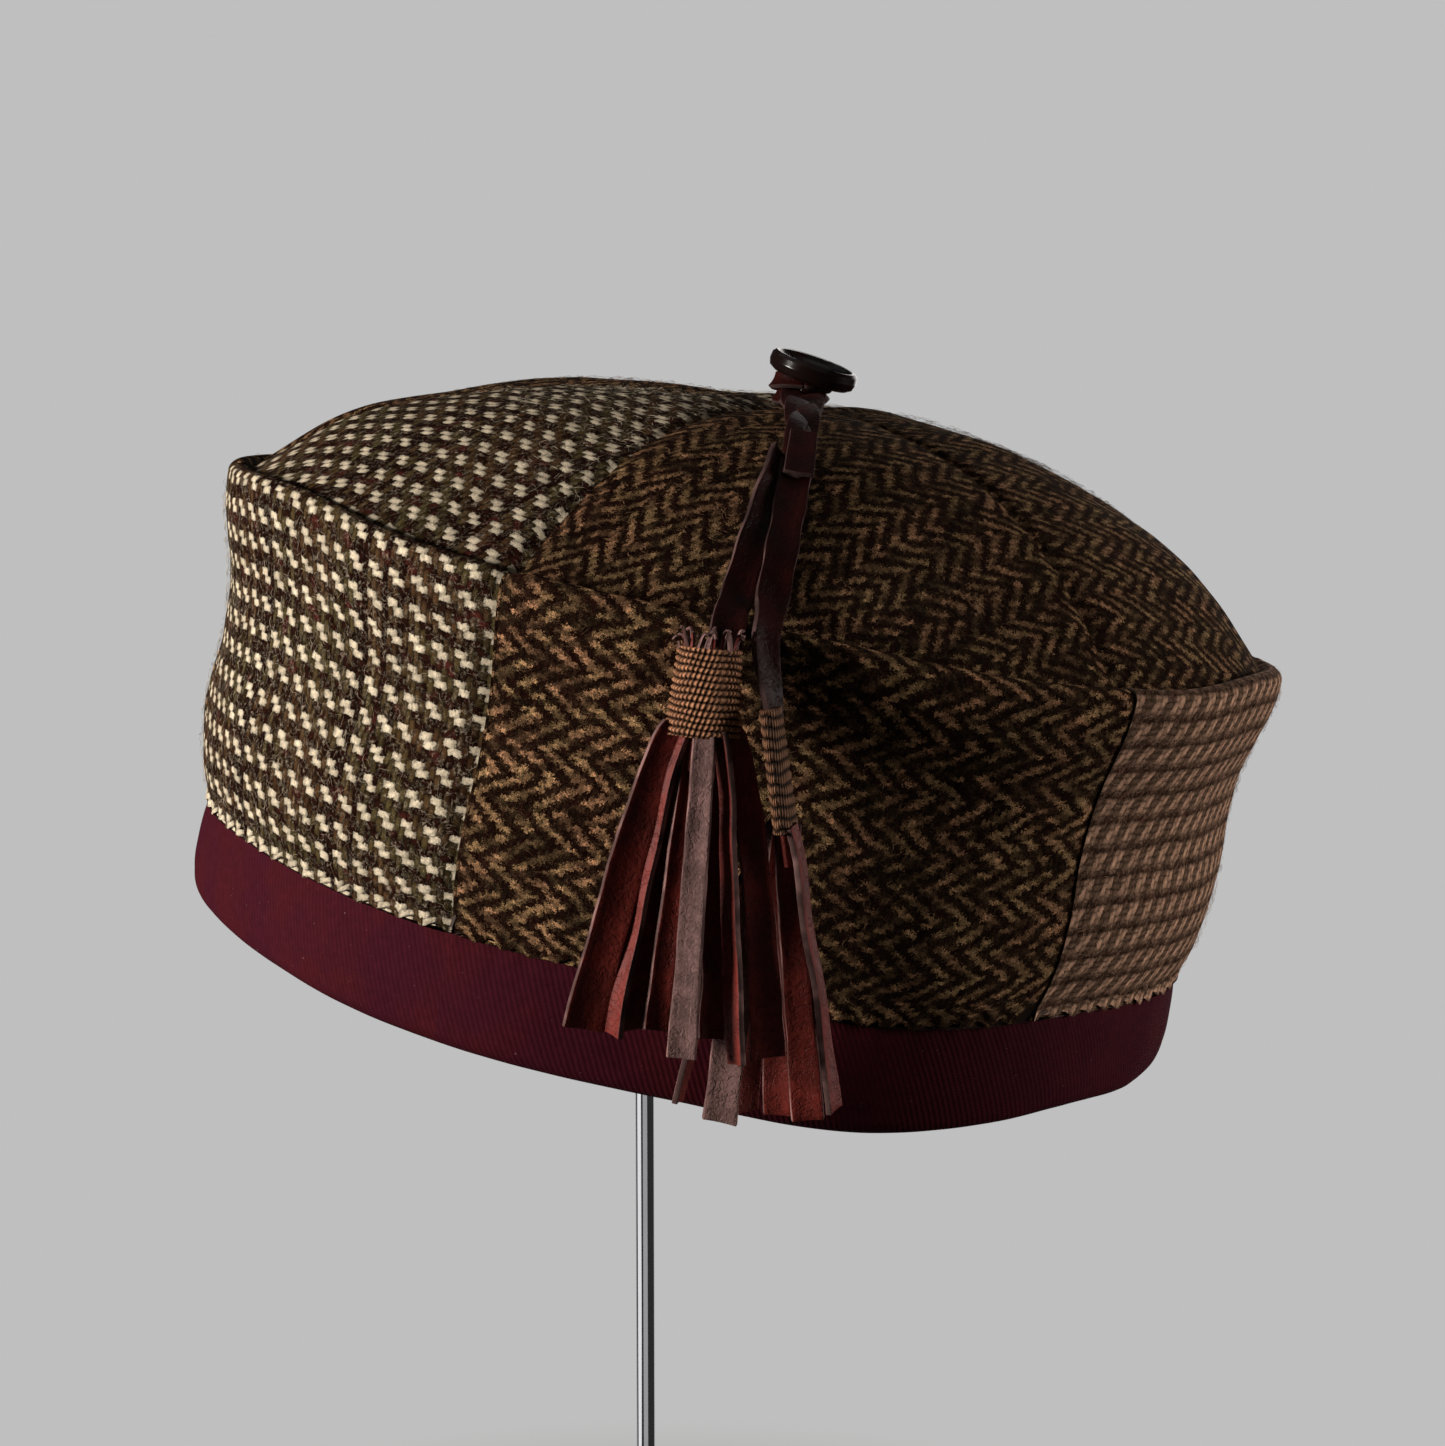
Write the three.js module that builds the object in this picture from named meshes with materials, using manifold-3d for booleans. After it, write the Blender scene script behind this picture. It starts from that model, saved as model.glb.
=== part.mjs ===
// A smoking cap of pieced tweed over a wine-red band, with a button, a plaited thong and two
// leather tassels at its crown, resting on a plain rod stand. Millimetres, +Z up.
// The stand's base rests at Z = 0 round the Z axis, and the cap's front panel faces -Y.
import * as THREE from 'three';
import { mergeVertices } from 'three/addons/utils/BufferGeometryUtils.js';
import Module from 'manifold-3d';

const wasm = await Module();
wasm.setup();

// Cloth and clearances
const tweedWall = 2.6;
const bandWall = 2.2;
const seamGap = 0.3;
const restGap = 0.35;

// Head opening, as half of the outside length and width at the band
const rimHalfLength = 100.2;
const rimHalfWidth = 87;

// Heights on the cap's own axis, and how much the levels fall for each millimetre to +X and +Y
const bandHeight = 18.5;
const panelHeight = 65.5;
const domeRise = 35.5;
const bandFallX = 0.003;
const bandFallY = 0.045;
const ridgeFallX = 0.021;
const ridgeFallY = 0.074;

// Standing ridge where the side panels meet the crown wedges
const ridgeOverhang = 6.6;
const ridgeShiftX = 1.2;
const ridgeRoll = 2.2;
const gutterDepth = 2.6;

// Six panels round the cap; the seams push the oval out and the panels' middles stay flatter
const panelCount = 6;
const firstSeamTurn = THREE.MathUtils.degToRad(-25.5);
const frontSpan = THREE.MathUtils.degToRad(65);
const rimCorner = 0.8;
const ridgeCorner = 1.2;
const seamCrease = 0.8;
const creaseWidth = 1.8;
const bandSwell = 0.8;
const sagDepth = 2.2;
const ridgeLift = 2.3;
const gorePuff = 1.2;
const domeLean = 2.1;
const domePower = 3;

// The button sits off the oval's centre, where the wedges meet
const apexShiftX = 3;
const apexHoleRadius = 2.4;
const buttonRadius = 9;
const buttonThickness = 3.4;
const buttonDish = 1.1;
const shankRadius = 2;
const buttonClearance = 0.9;
const buttonTilt = THREE.MathUtils.degToRad(4);

// Plaited thong from the button down the crown, ending in a cut tab
const plaitLength = 57;
const plaitTopWidth = 10.5;
const plaitEndWidth = 6.5;
const plaitThickness = 3.6;
const plaitCrossings = 5;
const plaitLobe = 1.12;
const plaitTurn = THREE.MathUtils.degToRad(0.5);
const collarHeight = 3.6;

// Flat straps to the tassels
const strapWidth = 6;
const strapThickness = 1.4;
const strapLift = 1.1;
const strapTuck = 4;

// Tassels: thread wraps and cut leather strips
const wrapDrop = 4.5;
const wrapLength = 15.5;
const wrapWidth = 13.4;
const wrapRibs = 13;
const ribHeight = 0.45;
const tasselStandoff = 5.2;
const fringeLength = 54;
const fringeHeadHeight = 3;
const stripWidth = 5;
const stripThickness = 1.1;
const fanPower = 0.7;

// Stand
const capHeight = 160;
const capShiftX = 7.6;
const capShiftY = 4.8;
const capRoll = THREE.MathUtils.degToRad(10.5);
const capPitch = THREE.MathUtils.degToRad(5.9);
const baseRadius = 72;
const baseThickness = 6;
const baseBevel = 1.5;
const bossRadius = 8;
const bossHeight = 6;
const rodRadius = 1.9;
const rodClearance = 0.3;
const socketFloor = 3;
const headRadius = 42;
const headSphere = 62;
const headEdge = 4;
const headSocketDepth = 8;

// Band from hem to seam: level is a share of its height, out a share of bandSwell
const bandRows = [
  { level: 0, out: -1.4 },
  { level: 0.08, out: 0.2 },
  { level: 0.24, out: 1 },
  { level: 0.5, out: 1 },
  { level: 0.8, out: 0.3 },
  { level: 1, out: -0.6 },
];

// Side panels from the band's seam to the ridge: level is a share of panelHeight,
// out a share of ridgeOverhang
const sideRows = [
  { level: 0, out: -0.08 },
  { level: 0.05, out: 0.18 },
  { level: 0.15, out: 0.46 },
  { level: 0.3, out: 0.56 },
  { level: 0.5, out: 0.38 },
  { level: 0.7, out: 0.5 },
  { level: 0.86, out: 0.84 },
  { level: 1, out: 1 },
];

// Soft sags of the band and its seam, as turns in degrees and shares of sagDepth,
// and soft lifts of the ridge, as shares of ridgeLift
const bandSags = [
  { turn: 19, spread: 15, share: 1 },
  { turn: 50, spread: 13, share: -0.75 },
];
const ridgeLifts = [
  { turn: -60, spread: 16, share: 1 },
  { turn: 25, spread: 14, share: -0.45 },
  { turn: 72, spread: 18, share: 1 },
];

// Crown wedges from the gutter to the button, as shares of the way out from the button
const crownReaches = [1, 0.96, 0.88, 0.77, 0.64, 0.5, 0.35, 0.19];
const liningReaches = [1, 0.92, 0.8, 0.64, 0.46, 0.26];

// Tassels: turn of the strap on the ridge in degrees, and shares of wrapDrop, wrapLength,
// wrapWidth at the top and the end, and tasselStandoff; depth is a share of the wrap's width,
// lean goes to +X for each millimetre of drop, and spin turns the wrap about its own line
const tasselShares = [
  {
    side: 'left', ridgeTurn: -5, drop: 1, wrap: 1, top: 0.84, end: 1, standoff: 1,
    depthShare: 0.55, lean: -0.09, spin: 0,
  },
  {
    side: 'right', ridgeTurn: -0.5, drop: 3, wrap: 1.39, top: 0.63, end: 0.72, standoff: 0.88,
    depthShare: 0.42, lean: 0.13, spin: 75,
  },
];
const tassels = tasselShares.map((row) => ({
  ...row,
  drop: row.drop * wrapDrop,
  wrapLength: row.wrap * wrapLength,
  topWidth: row.top * wrapWidth,
  endWidth: row.end * wrapWidth,
  standoff: row.standoff * tasselStandoff,
}));

// Strips of each fringe: where each ends beside and in front of the wrap's line and its reach
// down it, as shares of fringeLength, its width as a share of stripWidth, and its turn in degrees
const fringes = {
  left: [
    { beside: -0.3, ahead: 0.02, reach: 0.97, width: 1.48, turn: 12 },
    { beside: -0.2, ahead: 0.03, reach: 0.98, width: 0.84, turn: -30 },
    { beside: -0.14, ahead: -0.06, reach: 0.98, width: 1, turn: 30 },
    { beside: -0.065, ahead: 0.02, reach: 0.955, width: 0.92, turn: 12 },
    { beside: 0.025, ahead: 0.1, reach: 1.02, width: 1, turn: -4 },
    { beside: 0.06, ahead: -0.09, reach: 0.95, width: 1, turn: 40 },
    { beside: 0.115, ahead: -0.03, reach: 0.98, width: 1, turn: 25 },
    { beside: 0.205, ahead: 0.06, reach: 1.035, width: 0.84, turn: -45 },
    { beside: 0.305, ahead: 0.01, reach: 1.015, width: 1.24, turn: 8 },
  ],
  right: [
    { beside: -0.47, ahead: -0.2, reach: 0.885, width: 0.6, turn: 50 },
    { beside: -0.34, ahead: -0.14, reach: 0.955, width: 1.24, turn: 4 },
    { beside: -0.25, ahead: -0.19, reach: 0.945, width: 1, turn: 20 },
    { beside: -0.145, ahead: -0.13, reach: 0.95, width: 1.04, turn: -8 },
    { beside: -0.05, ahead: -0.1, reach: 0.975, width: 1.16, turn: 6 },
    { beside: 0.035, ahead: -0.06, reach: 0.94, width: 0.8, turn: 60 },
  ],
};

// Facets
const panelColumns = 11;
const bandColumns = 60;
const roundSides = 30;
const smallSides = 20;
const wrapSides = 10;
const stripSpans = 4;

// Materials
const cloth = (color) => new THREE.MeshStandardMaterial({ color, roughness: 0.95, metalness: 0 });
const creamTweed = cloth(0x8a7c62);
const darkTweed = cloth(0x40352a);
const roseTweed = cloth(0x8f7468);
const wineTwill = cloth(0x4a1c26);
const wrapThread = cloth(0x8a5c3c);
const brownLeather = new THREE.MeshStandardMaterial({ color: 0x3c1d16, roughness: 0.55 });
const horn = new THREE.MeshStandardMaterial({ color: 0x16100e, roughness: 0.2 });
const chrome = new THREE.MeshStandardMaterial({ color: 0xc8c8cc, roughness: 0.08, metalness: 1 });
const blackPaint = new THREE.MeshStandardMaterial({ color: 0x1b1b1d, roughness: 0.6 });

// Where a panel's seam stands round the cap; the panels behind the front one share the rest
function seamTurn(panel) {
  const others = (2 * Math.PI - frontSpan) / (panelCount - 1);
  return panel === 0 ? firstSeamTurn : firstSeamTurn + frontSpan + (panel - 1) * others;
}

// How close a turn is to a seam: 1 on it, and -1 in the middle of a panel
function cornerShare(turn) {
  const whole = 2 * Math.PI;
  const round = firstSeamTurn + THREE.MathUtils.euclideanModulo(turn - firstSeamTurn, whole);
  let panel = 0;
  while (panel < panelCount - 1 && round >= seamTurn(panel + 1)) panel += 1;
  const share = (round - seamTurn(panel)) / (seamTurn(panel + 1) - seamTurn(panel));
  return Math.cos(whole * share);
}

// The oval with its soft corners at a turn from the front, moved out by out and pushed by corner
function ovalPoint(turn, out, corner) {
  const push = corner * cornerShare(turn);
  const x = (rimHalfLength + out + push) * Math.sin(turn);
  const y = -(rimHalfWidth + out + push) * Math.cos(turn);
  return new THREE.Vector2(x, y);
}

// The sum at a turn of soft bumps listed by turn and spread in degrees
function bumps(rows, turn) {
  return rows.reduce((sum, row) => {
    const away = THREE.MathUtils.radToDeg(turn) - row.turn;
    const around = ((away + 540) % 360) - 180;
    return sum + row.share * Math.exp(-((around / row.spread) ** 2));
  }, 0);
}

// Height of the seam between band and tweed, and of the ridge's crest, over a place on the plan
function seamHeightAt(plan) {
  return bandHeight - bandFallX * plan.x - bandFallY * plan.y;
}

function ridgeHeightAt(plan) {
  return bandHeight + panelHeight - ridgeFallX * plan.x - ridgeFallY * plan.y;
}

// A column of a table at a level between its rows
function readTable(rows, column, level) {
  const last = rows.findIndex((row) => row.level >= level);
  if (last === 0) return rows[0][column];
  if (last < 0) return rows[rows.length - 1][column];
  const [low, high] = [rows[last - 1], rows[last]];
  return THREE.MathUtils.mapLinear(level, low.level, high.level, low[column], high[column]);
}

function bandPoint(turn, level, out) {
  const plan = ovalPoint(turn, out, rimCorner);
  const sag = sagDepth * bumps(bandSags, turn);
  return new THREE.Vector3(plan.x, plan.y, level * seamHeightAt(plan) - sag);
}

function sidePoint(turn, level, out) {
  const plan = ovalPoint(turn, out, THREE.MathUtils.lerp(rimCorner, ridgeCorner, level));
  plan.x += ridgeShiftX * level;
  const foot = seamHeightAt(plan) - sagDepth * bumps(bandSags, turn);
  const crest = ridgeHeightAt(plan) + ridgeLift * bumps(ridgeLifts, turn);
  return new THREE.Vector3(plan.x, plan.y, THREE.MathUtils.lerp(foot, crest, level));
}

// The crown's outer surface: reach is 1 in the gutter and 0 at the button
const gutterOut = ridgeOverhang - 2 * ridgeRoll - seamGap;

function crownPoint(turn, reach, drop = 0) {
  const edge = ovalPoint(turn, gutterOut, ridgeCorner);
  edge.x += ridgeShiftX;
  const plan = new THREE.Vector2(apexShiftX, 0).lerp(edge, reach);
  const puff = gorePuff * (1 - cornerShare(turn)) / 2;
  const rise = domeRise * (1 - reach ** domePower) + puff * 4 * reach * (1 - reach);
  const lean = domeLean * 4 * reach * (1 - reach) * Math.sin(turn);
  const edgeLift = ridgeLift * bumps(ridgeLifts, turn) * reach ** 4;
  const height = ridgeHeightAt(plan) - gutterDepth + rise + lean + edgeLift - drop;
  return new THREE.Vector3(plan.x, plan.y, height);
}

// Where the underside of the crown lies below its outside, for a wall of even thickness
function crownDrop(reach) {
  const slope = domeRise * domePower * reach ** (domePower - 1) / rimHalfLength;
  return tweedWall * Math.hypot(1, slope);
}

// A closed geometry from sections of as many points each; a ring joins its last to its first
function loft(sections, ring = false) {
  const count = sections[0].length;
  const spans = ring ? sections.length : sections.length - 1;
  const faces = [];
  for (let k = 0; k < spans; k += 1) {
    const here = k * count;
    const next = ((k + 1) % sections.length) * count;
    for (let i = 0; i < count; i += 1) {
      const j = (i + 1) % count;
      faces.push([here + i, here + j, next + j], [here + i, next + j, next + i]);
    }
  }
  if (!ring) {
    const ends = [[sections[0], 0, true], [sections[spans], spans * count, false]];
    for (const [section, offset, reversed] of ends) {
      for (const face of capFaces(section)) {
        const corners = face.map((corner) => corner + offset);
        faces.push(reversed ? corners.reverse() : corners);
      }
    }
  }
  return closedGeometry(sections.flat(), faces);
}

// Triangles over a flat outline in space, wound as the outline is
function capFaces(section) {
  const normal = new THREE.Vector3();
  section.forEach((point, i) => normal.add(point.clone().cross(section[(i + 1) % section.length])));
  const turnFlat = new THREE.Quaternion();
  turnFlat.setFromUnitVectors(normal.normalize(), new THREE.Vector3(0, 0, 1));
  const flat = section.map((point) => point.clone().applyQuaternion(turnFlat));
  const outline = flat.map((point) => new THREE.Vector2(point.x, point.y));
  return THREE.ShapeUtils.triangulateShape(outline, []);
}

// Faces are turned to point out, as the volume that they enclose shows
function closedGeometry(points, faces) {
  const volume = faces.reduce((sum, [a, b, c]) => (
    sum + points[a].dot(points[b].clone().cross(points[c]))
  ), 0);
  const index = volume < 0 ? faces.map(([a, b, c]) => [a, c, b]) : faces;
  const geometry = new THREE.BufferGeometry().setFromPoints(points);
  geometry.setIndex(index.flat());
  return geometry;
}

function toSolid(geometry) {
  const bare = geometry.clone();
  bare.deleteAttribute('normal');
  bare.deleteAttribute('uv');
  const merged = mergeVertices(bare, 0.0001);
  return new wasm.Manifold(new wasm.Mesh({
    numProp: 3,
    vertProperties: new Float32Array(merged.attributes.position.array),
    triVerts: new Uint32Array(merged.index.array),
  }));
}

function joined(geometries) {
  const solid = geometries.map(toSolid).reduce((whole, piece) => whole.add(piece));
  const mesh = solid.getMesh();
  const geometry = new THREE.BufferGeometry();
  const places = new Float32Array(mesh.vertProperties);
  geometry.setAttribute('position', new THREE.BufferAttribute(places, mesh.numProp));
  geometry.setIndex(new THREE.BufferAttribute(new Uint32Array(mesh.triVerts), 1));
  return geometry;
}

function piece(name, geometry, material) {
  const mesh = new THREE.Mesh(geometry, material);
  mesh.name = name;
  return mesh;
}

// The folded band, one ring with a rolled hem
function bandSection(turn) {
  const outer = bandRows.map((row) => bandPoint(turn, row.level, row.out * bandSwell));
  const inner = [1, 0.5, 0.06].map((level) => (
    bandPoint(turn, level, readTable(bandRows, 'out', level) * bandSwell - bandWall)
  ));
  return [...outer, ...inner];
}

function bandGeometry() {
  const turns = Array.from({ length: bandColumns }, (_, i) => (i / bandColumns) * 2 * Math.PI);
  return loft(turns.map(bandSection), true);
}

// Columns across a panel between its two seams: a narrow one at each edge for the seam's crease
function panelColumnsAt(panel) {
  const start = seamTurn(panel);
  const span = seamTurn(panel + 1) - start;
  const edge = creaseWidth / rimHalfLength;
  const middle = Array.from({ length: panelColumns + 1 }, (_, i) => (
    start + edge + (span - 2 * edge) * (i / panelColumns)
  ));
  const columns = middle.map((turn) => ({ turn, crease: 0, shift: 0 }));
  columns.unshift({ turn: start, crease: seamCrease, shift: seamGap / 2 });
  columns.push({ turn: start + span, crease: seamCrease, shift: -seamGap / 2 });
  return columns;
}

// A side panel's wall with its top edge rolled over into the standing ridge
function sideSection({ turn, crease, shift }) {
  const roll = ridgeRoll / panelHeight;
  const out = (level) => readTable(sideRows, 'out', level) * ridgeOverhang;
  const outline = [];
  const foot = seamGap / panelHeight;
  for (const row of sideRows) {
    const level = Math.max(foot, Math.min(row.level, 1 - roll));
    outline.push({ level, out: out(level) - crease });
  }
  for (const angle of [45, 90, 135, 180].map(THREE.MathUtils.degToRad)) {
    const bulge = ridgeOverhang - ridgeRoll + ridgeRoll * Math.cos(angle);
    const sunk = angle > Math.PI / 2 ? 0 : crease;
    outline.push({ level: 1 - roll + roll * Math.sin(angle), out: bulge - sunk });
  }
  const underGutter = 1 - (gutterDepth + tweedWall * 1.6) / panelHeight;
  outline.push({ level: underGutter, out: ridgeOverhang - 2 * ridgeRoll });
  for (const level of [0.78, 0.5, 0.28, 0.1, foot]) {
    outline.push({ level, out: out(level) - tweedWall });
  }
  return outline.map((point) => {
    const nudge = shift / (rimHalfWidth + point.out);
    return sidePoint(turn + nudge, point.level, point.out);
  });
}

// A wedge of the crown from the gutter to the button's hole
function crownSection({ turn, crease, shift }) {
  const hole = apexHoleRadius / rimHalfWidth;
  const at = (reach, drop) => {
    const nudge = shift / ((rimHalfWidth + gutterOut) * reach);
    return crownPoint(turn + nudge, reach, drop);
  };
  const outer = [...crownReaches, hole].map((reach) => at(reach, crease * Math.min(1, 4 * reach)));
  const inner = [...liningReaches, hole].map((reach) => at(reach, crownDrop(reach)));
  return [...outer, ...inner.reverse()];
}

// The button: a dished disc with a raised rim on a shank as long as the collar under it is high
function buttonGeometry() {
  const leather = Math.max(collarHeight, plaitThickness);
  const sunk = buttonRadius * Math.sin(buttonTilt);
  const shankHeight = restGap + seamCrease + leather + buttonClearance + sunk;
  const rim = buttonRadius * 0.86;
  const top = shankHeight + buttonThickness;
  const profile = [
    [0, restGap], [shankRadius, restGap], [shankRadius, shankHeight],
    [buttonRadius * 0.8, shankHeight + 0.2 * buttonThickness],
    [buttonRadius, shankHeight + 0.55 * buttonThickness],
    [buttonRadius * 0.97, top - 0.12 * buttonThickness],
    [rim, top], [buttonRadius * 0.66, top - buttonDish], [0, top - buttonDish],
  ];
  return standing(profile, smallSides);
}

// A turned shape round Z from a profile of radius and height that starts and ends on the axis
function standing(profile, sides) {
  const points = profile.map(([radius, height]) => new THREE.Vector2(radius, height));
  return new THREE.LatheGeometry(points, sides).rotateX(Math.PI / 2);
}

// The crown's outward normal
function crownNormal(turn, reach) {
  const step = 0.01;
  const here = crownPoint(turn, reach);
  const along = crownPoint(turn, reach + step).sub(here);
  const beside = crownPoint(turn + step, reach).sub(here);
  const normal = beside.cross(along).normalize();
  return normal.z < 0 ? normal.negate() : normal;
}

// The plaited thong: a collar round the button's shank and a plait down the crown's slope
function plaitPoint(share) {
  const reach = (shankRadius + 1 + plaitLength * share) / rimHalfWidth;
  const normal = crownNormal(plaitTurn, reach);
  const lift = restGap + seamCrease + plaitThickness / 2;
  return { at: crownPoint(plaitTurn, reach).addScaledVector(normal, lift), normal };
}

function plaitGeometry() {
  const stations = 5 * plaitCrossings;
  const sections = [];
  for (let k = 0; k <= stations; k += 1) {
    const share = k / stations;
    const { at, normal } = plaitPoint(share);
    const ahead = plaitPoint(share + 0.01).at.sub(at).normalize();
    const across = ahead.clone().cross(normal).normalize();
    const width = THREE.MathUtils.lerp(plaitTopWidth, plaitEndWidth, share);
    const lobe = Math.sin(share * plaitCrossings * 2 * Math.PI);
    sections.push(Array.from({ length: 8 }, (_, i) => {
      const angle = (i / 8) * 2 * Math.PI;
      const swell = 1 + (plaitLobe - 1) * lobe * Math.sign(Math.cos(angle));
      const side = (width / 2) * Math.cos(angle) * swell;
      const lift = (plaitThickness / 2) * Math.sin(angle);
      return at.clone().addScaledVector(across, side).addScaledVector(normal, lift);
    }));
  }
  return loft(sections);
}

function thongGeometry(apex) {
  const low = restGap + seamCrease;
  const high = low + collarHeight;
  const inner = shankRadius + seamGap + high * Math.sin(buttonTilt);
  const outer = plaitTopWidth / 2;
  const ring = [[inner, low], [outer, low], [outer, high], [inner, high]];
  const collar = standing([...ring, ring[0]], smallSides);
  collar.translate(apex.x, apex.y, apex.z);
  return joined([collar, plaitGeometry()]);
}

// A flat strip through stations that give its middle, the way across it, width and thickness
function ribbon(stations) {
  return loft(stations.map(({ at, across, normal, width, thickness }) => (
    [[-1, -1], [1, -1], [1, 1], [-1, 1]].map(([side, face]) => (
      at.clone().addScaledVector(across, (side * width) / 2)
        .addScaledVector(normal, (face * thickness) / 2)
    ))
  )));
}

// The cap's place on its stand
const capPlace = new THREE.Group();
capPlace.position.set(capShiftX, capShiftY, capHeight);
capPlace.rotation.set(capPitch, capRoll, 0, 'YXZ');
capPlace.updateMatrix();
const toStand = (point) => point.applyMatrix4(capPlace.matrix);
const turnToStand = (direction) => direction.applyQuaternion(capPlace.quaternion);

// Where a tassel hangs: the ridge's crest under its strap, and the line that it hangs along
function tasselLine(tassel) {
  const turn = THREE.MathUtils.degToRad(tassel.ridgeTurn);
  const crest = toStand(sidePoint(turn, 1, ridgeOverhang));
  const down = new THREE.Vector3(tassel.lean, 0, -1).normalize();
  const ahead = new THREE.Vector3(0, -1, 0);
  const top = crest.clone().addScaledVector(ahead, tassel.standoff);
  top.addScaledVector(down, tassel.drop);
  return { turn, crest, down, ahead, top };
}

// Where a strap starts on the crown: the left one beside the plait's end, the right one below it
function strapStart(side) {
  const clear = side === 'left' ? -strapTuck : restGap + strapWidth / 4;
  const reach = (shankRadius + 1 + plaitLength + clear) / rimHalfWidth;
  const plaitHalf = plaitLobe * plaitEndWidth / 2;
  const beside = side === 'left' ? plaitHalf + strapWidth / 2 + 2 * seamGap : 0;
  return { reach, turn: plaitTurn - beside / (reach * rimHalfLength) };
}

// A strap from the plait's end over the crown and the ridge to the top of its wrap
function strapGeometry(tassel) {
  const { turn, crest, down, ahead, top } = tasselLine(tassel);
  const start = strapStart(tassel.side);
  const lift = strapLift + strapThickness / 2;
  const marks = [0, 0.25, 0.5, 0.75, 1].map((share) => {
    const way = THREE.MathUtils.lerp(start.turn, turn, share);
    const reach = THREE.MathUtils.lerp(start.reach, 0.955, share);
    const normal = crownNormal(way, reach);
    const at = crownPoint(way, reach).addScaledVector(normal, lift);
    return { at: toStand(at), normal: turnToStand(normal) };
  });
  const overCrest = sidePoint(turn, 1, ridgeOverhang - ridgeRoll);
  overCrest.z += lift;
  marks.push({ at: toStand(overCrest), normal: turnToStand(new THREE.Vector3(0, 0, 1)) });
  const outside = crest.clone().addScaledVector(ahead, Math.min(tassel.standoff, lift + 1));
  outside.z -= ridgeRoll;
  marks.push({ at: outside, normal: ahead.clone() });
  const end = top.clone().addScaledVector(down, -restGap - strapThickness / 2);
  if (tassel.drop > 3 * ridgeRoll) {
    const halfway = outside.clone().lerp(end, 0.5);
    marks.push({ at: halfway, normal: ahead.clone() });
  }
  marks.push({ at: end, normal: ahead.clone() });
  const path = new THREE.CatmullRomCurve3(marks.map((mark) => mark.at), false, 'centripetal');
  const normals = new THREE.CatmullRomCurve3(marks.map((mark) => mark.normal));
  const steps = 3 * (marks.length - 1);
  const stations = Array.from({ length: steps + 1 }, (_, i) => {
    const share = i / steps;
    const tangent = path.getTangent(share);
    const across = tangent.clone().cross(normals.getPoint(share)).normalize();
    const normal = across.clone().cross(tangent).normalize();
    const width = strapWidth;
    return { at: path.getPoint(share), across, normal, width, thickness: strapThickness };
  });
  return ribbon(stations);
}

// A frame at the wrap's top: local -Z runs down the tassel, and local Y points at the ridge
function hang(geometry, tassel, below) {
  const { down, top } = tasselLine(tassel);
  const tilt = new THREE.Quaternion().setFromUnitVectors(new THREE.Vector3(0, 0, -1), down);
  const place = top.clone().addScaledVector(down, below);
  return geometry.applyQuaternion(tilt).translate(place.x, place.y, place.z);
}

// The thread wrap: an oval roll with a rib for each turn of thread
function wrapGeometry(tassel) {
  const profile = [[0, 0]];
  for (let i = 0; i <= 2 * wrapRibs; i += 1) {
    const share = i / (2 * wrapRibs);
    const body = THREE.MathUtils.lerp(tassel.topWidth, tassel.endWidth, share) / 2;
    profile.push([i % 2 ? body : body - ribHeight, -share * tassel.wrapLength]);
  }
  profile.push([0, -tassel.wrapLength]);
  const geometry = standing(profile.reverse(), wrapSides).scale(1, tassel.depthShare, 1);
  return hang(geometry.rotateZ(THREE.MathUtils.degToRad(tassel.spin)), tassel, 0);
}

// The fringe: leather strips that spread from a head under the wrap
function fringeGeometry(tassel) {
  const half = (tassel.endWidth / 2) * 0.9;
  const head = standing([
    [0, -fringeHeadHeight], [half, -fringeHeadHeight], [half, 0], [0, 0],
  ], wrapSides).scale(1, tassel.depthShare, 1).rotateZ(THREE.MathUtils.degToRad(tassel.spin));
  const strips = fringes[tassel.side];
  const besides = strips.map((strip) => strip.beside);
  const middle = (Math.min(...besides) + Math.max(...besides)) / 2;
  const spread = (Math.max(...besides) - Math.min(...besides)) / 2;
  const seatWidth = half * Math.hypot(
    Math.cos(THREE.MathUtils.degToRad(tassel.spin)),
    tassel.depthShare * Math.sin(THREE.MathUtils.degToRad(tassel.spin)),
  ) - stripThickness;
  const pieces = strips.map((strip) => {
    const seat = (seatWidth * (strip.beside - middle)) / spread;
    const start = new THREE.Vector3(seat, -strip.ahead * half, -stripThickness);
    const end = new THREE.Vector3(strip.beside, -strip.ahead, -strip.reach);
    end.multiplyScalar(fringeLength);
    const facing = THREE.MathUtils.degToRad(strip.turn);
    return ribbon(Array.from({ length: stripSpans + 1 }, (_, k) => {
      const share = k / stripSpans;
      const fan = share ** fanPower;
      const at = new THREE.Vector3(
        THREE.MathUtils.lerp(start.x, end.x, fan),
        THREE.MathUtils.lerp(start.y, end.y, fan),
        THREE.MathUtils.lerp(start.z, end.z, share),
      );
      const across = new THREE.Vector3(Math.cos(facing), Math.sin(facing), 0);
      const normal = new THREE.Vector3(-Math.sin(facing), Math.cos(facing), 0);
      const width = strip.width * stripWidth * THREE.MathUtils.lerp(0.75, 1, share);
      return { at, across, normal, width, thickness: stripThickness };
    }));
  });
  return hang(joined([head, ...pieces]), tassel, tassel.wrapLength + restGap);
}

// The height at which the stand's head just clears the crown's underside
function headTop() {
  let top = Infinity;
  for (let turn = 0; turn < 2 * Math.PI; turn += Math.PI / 90) {
    for (let reach = 0; reach <= 1; reach += 0.02) {
      const under = toStand(crownPoint(turn, reach, crownDrop(reach)));
      const away = Math.hypot(under.x, under.y);
      if (away > headRadius) continue;
      top = Math.min(top, under.z + headSphere - Math.sqrt(headSphere ** 2 - away ** 2));
    }
  }
  return top - restGap;
}

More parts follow.
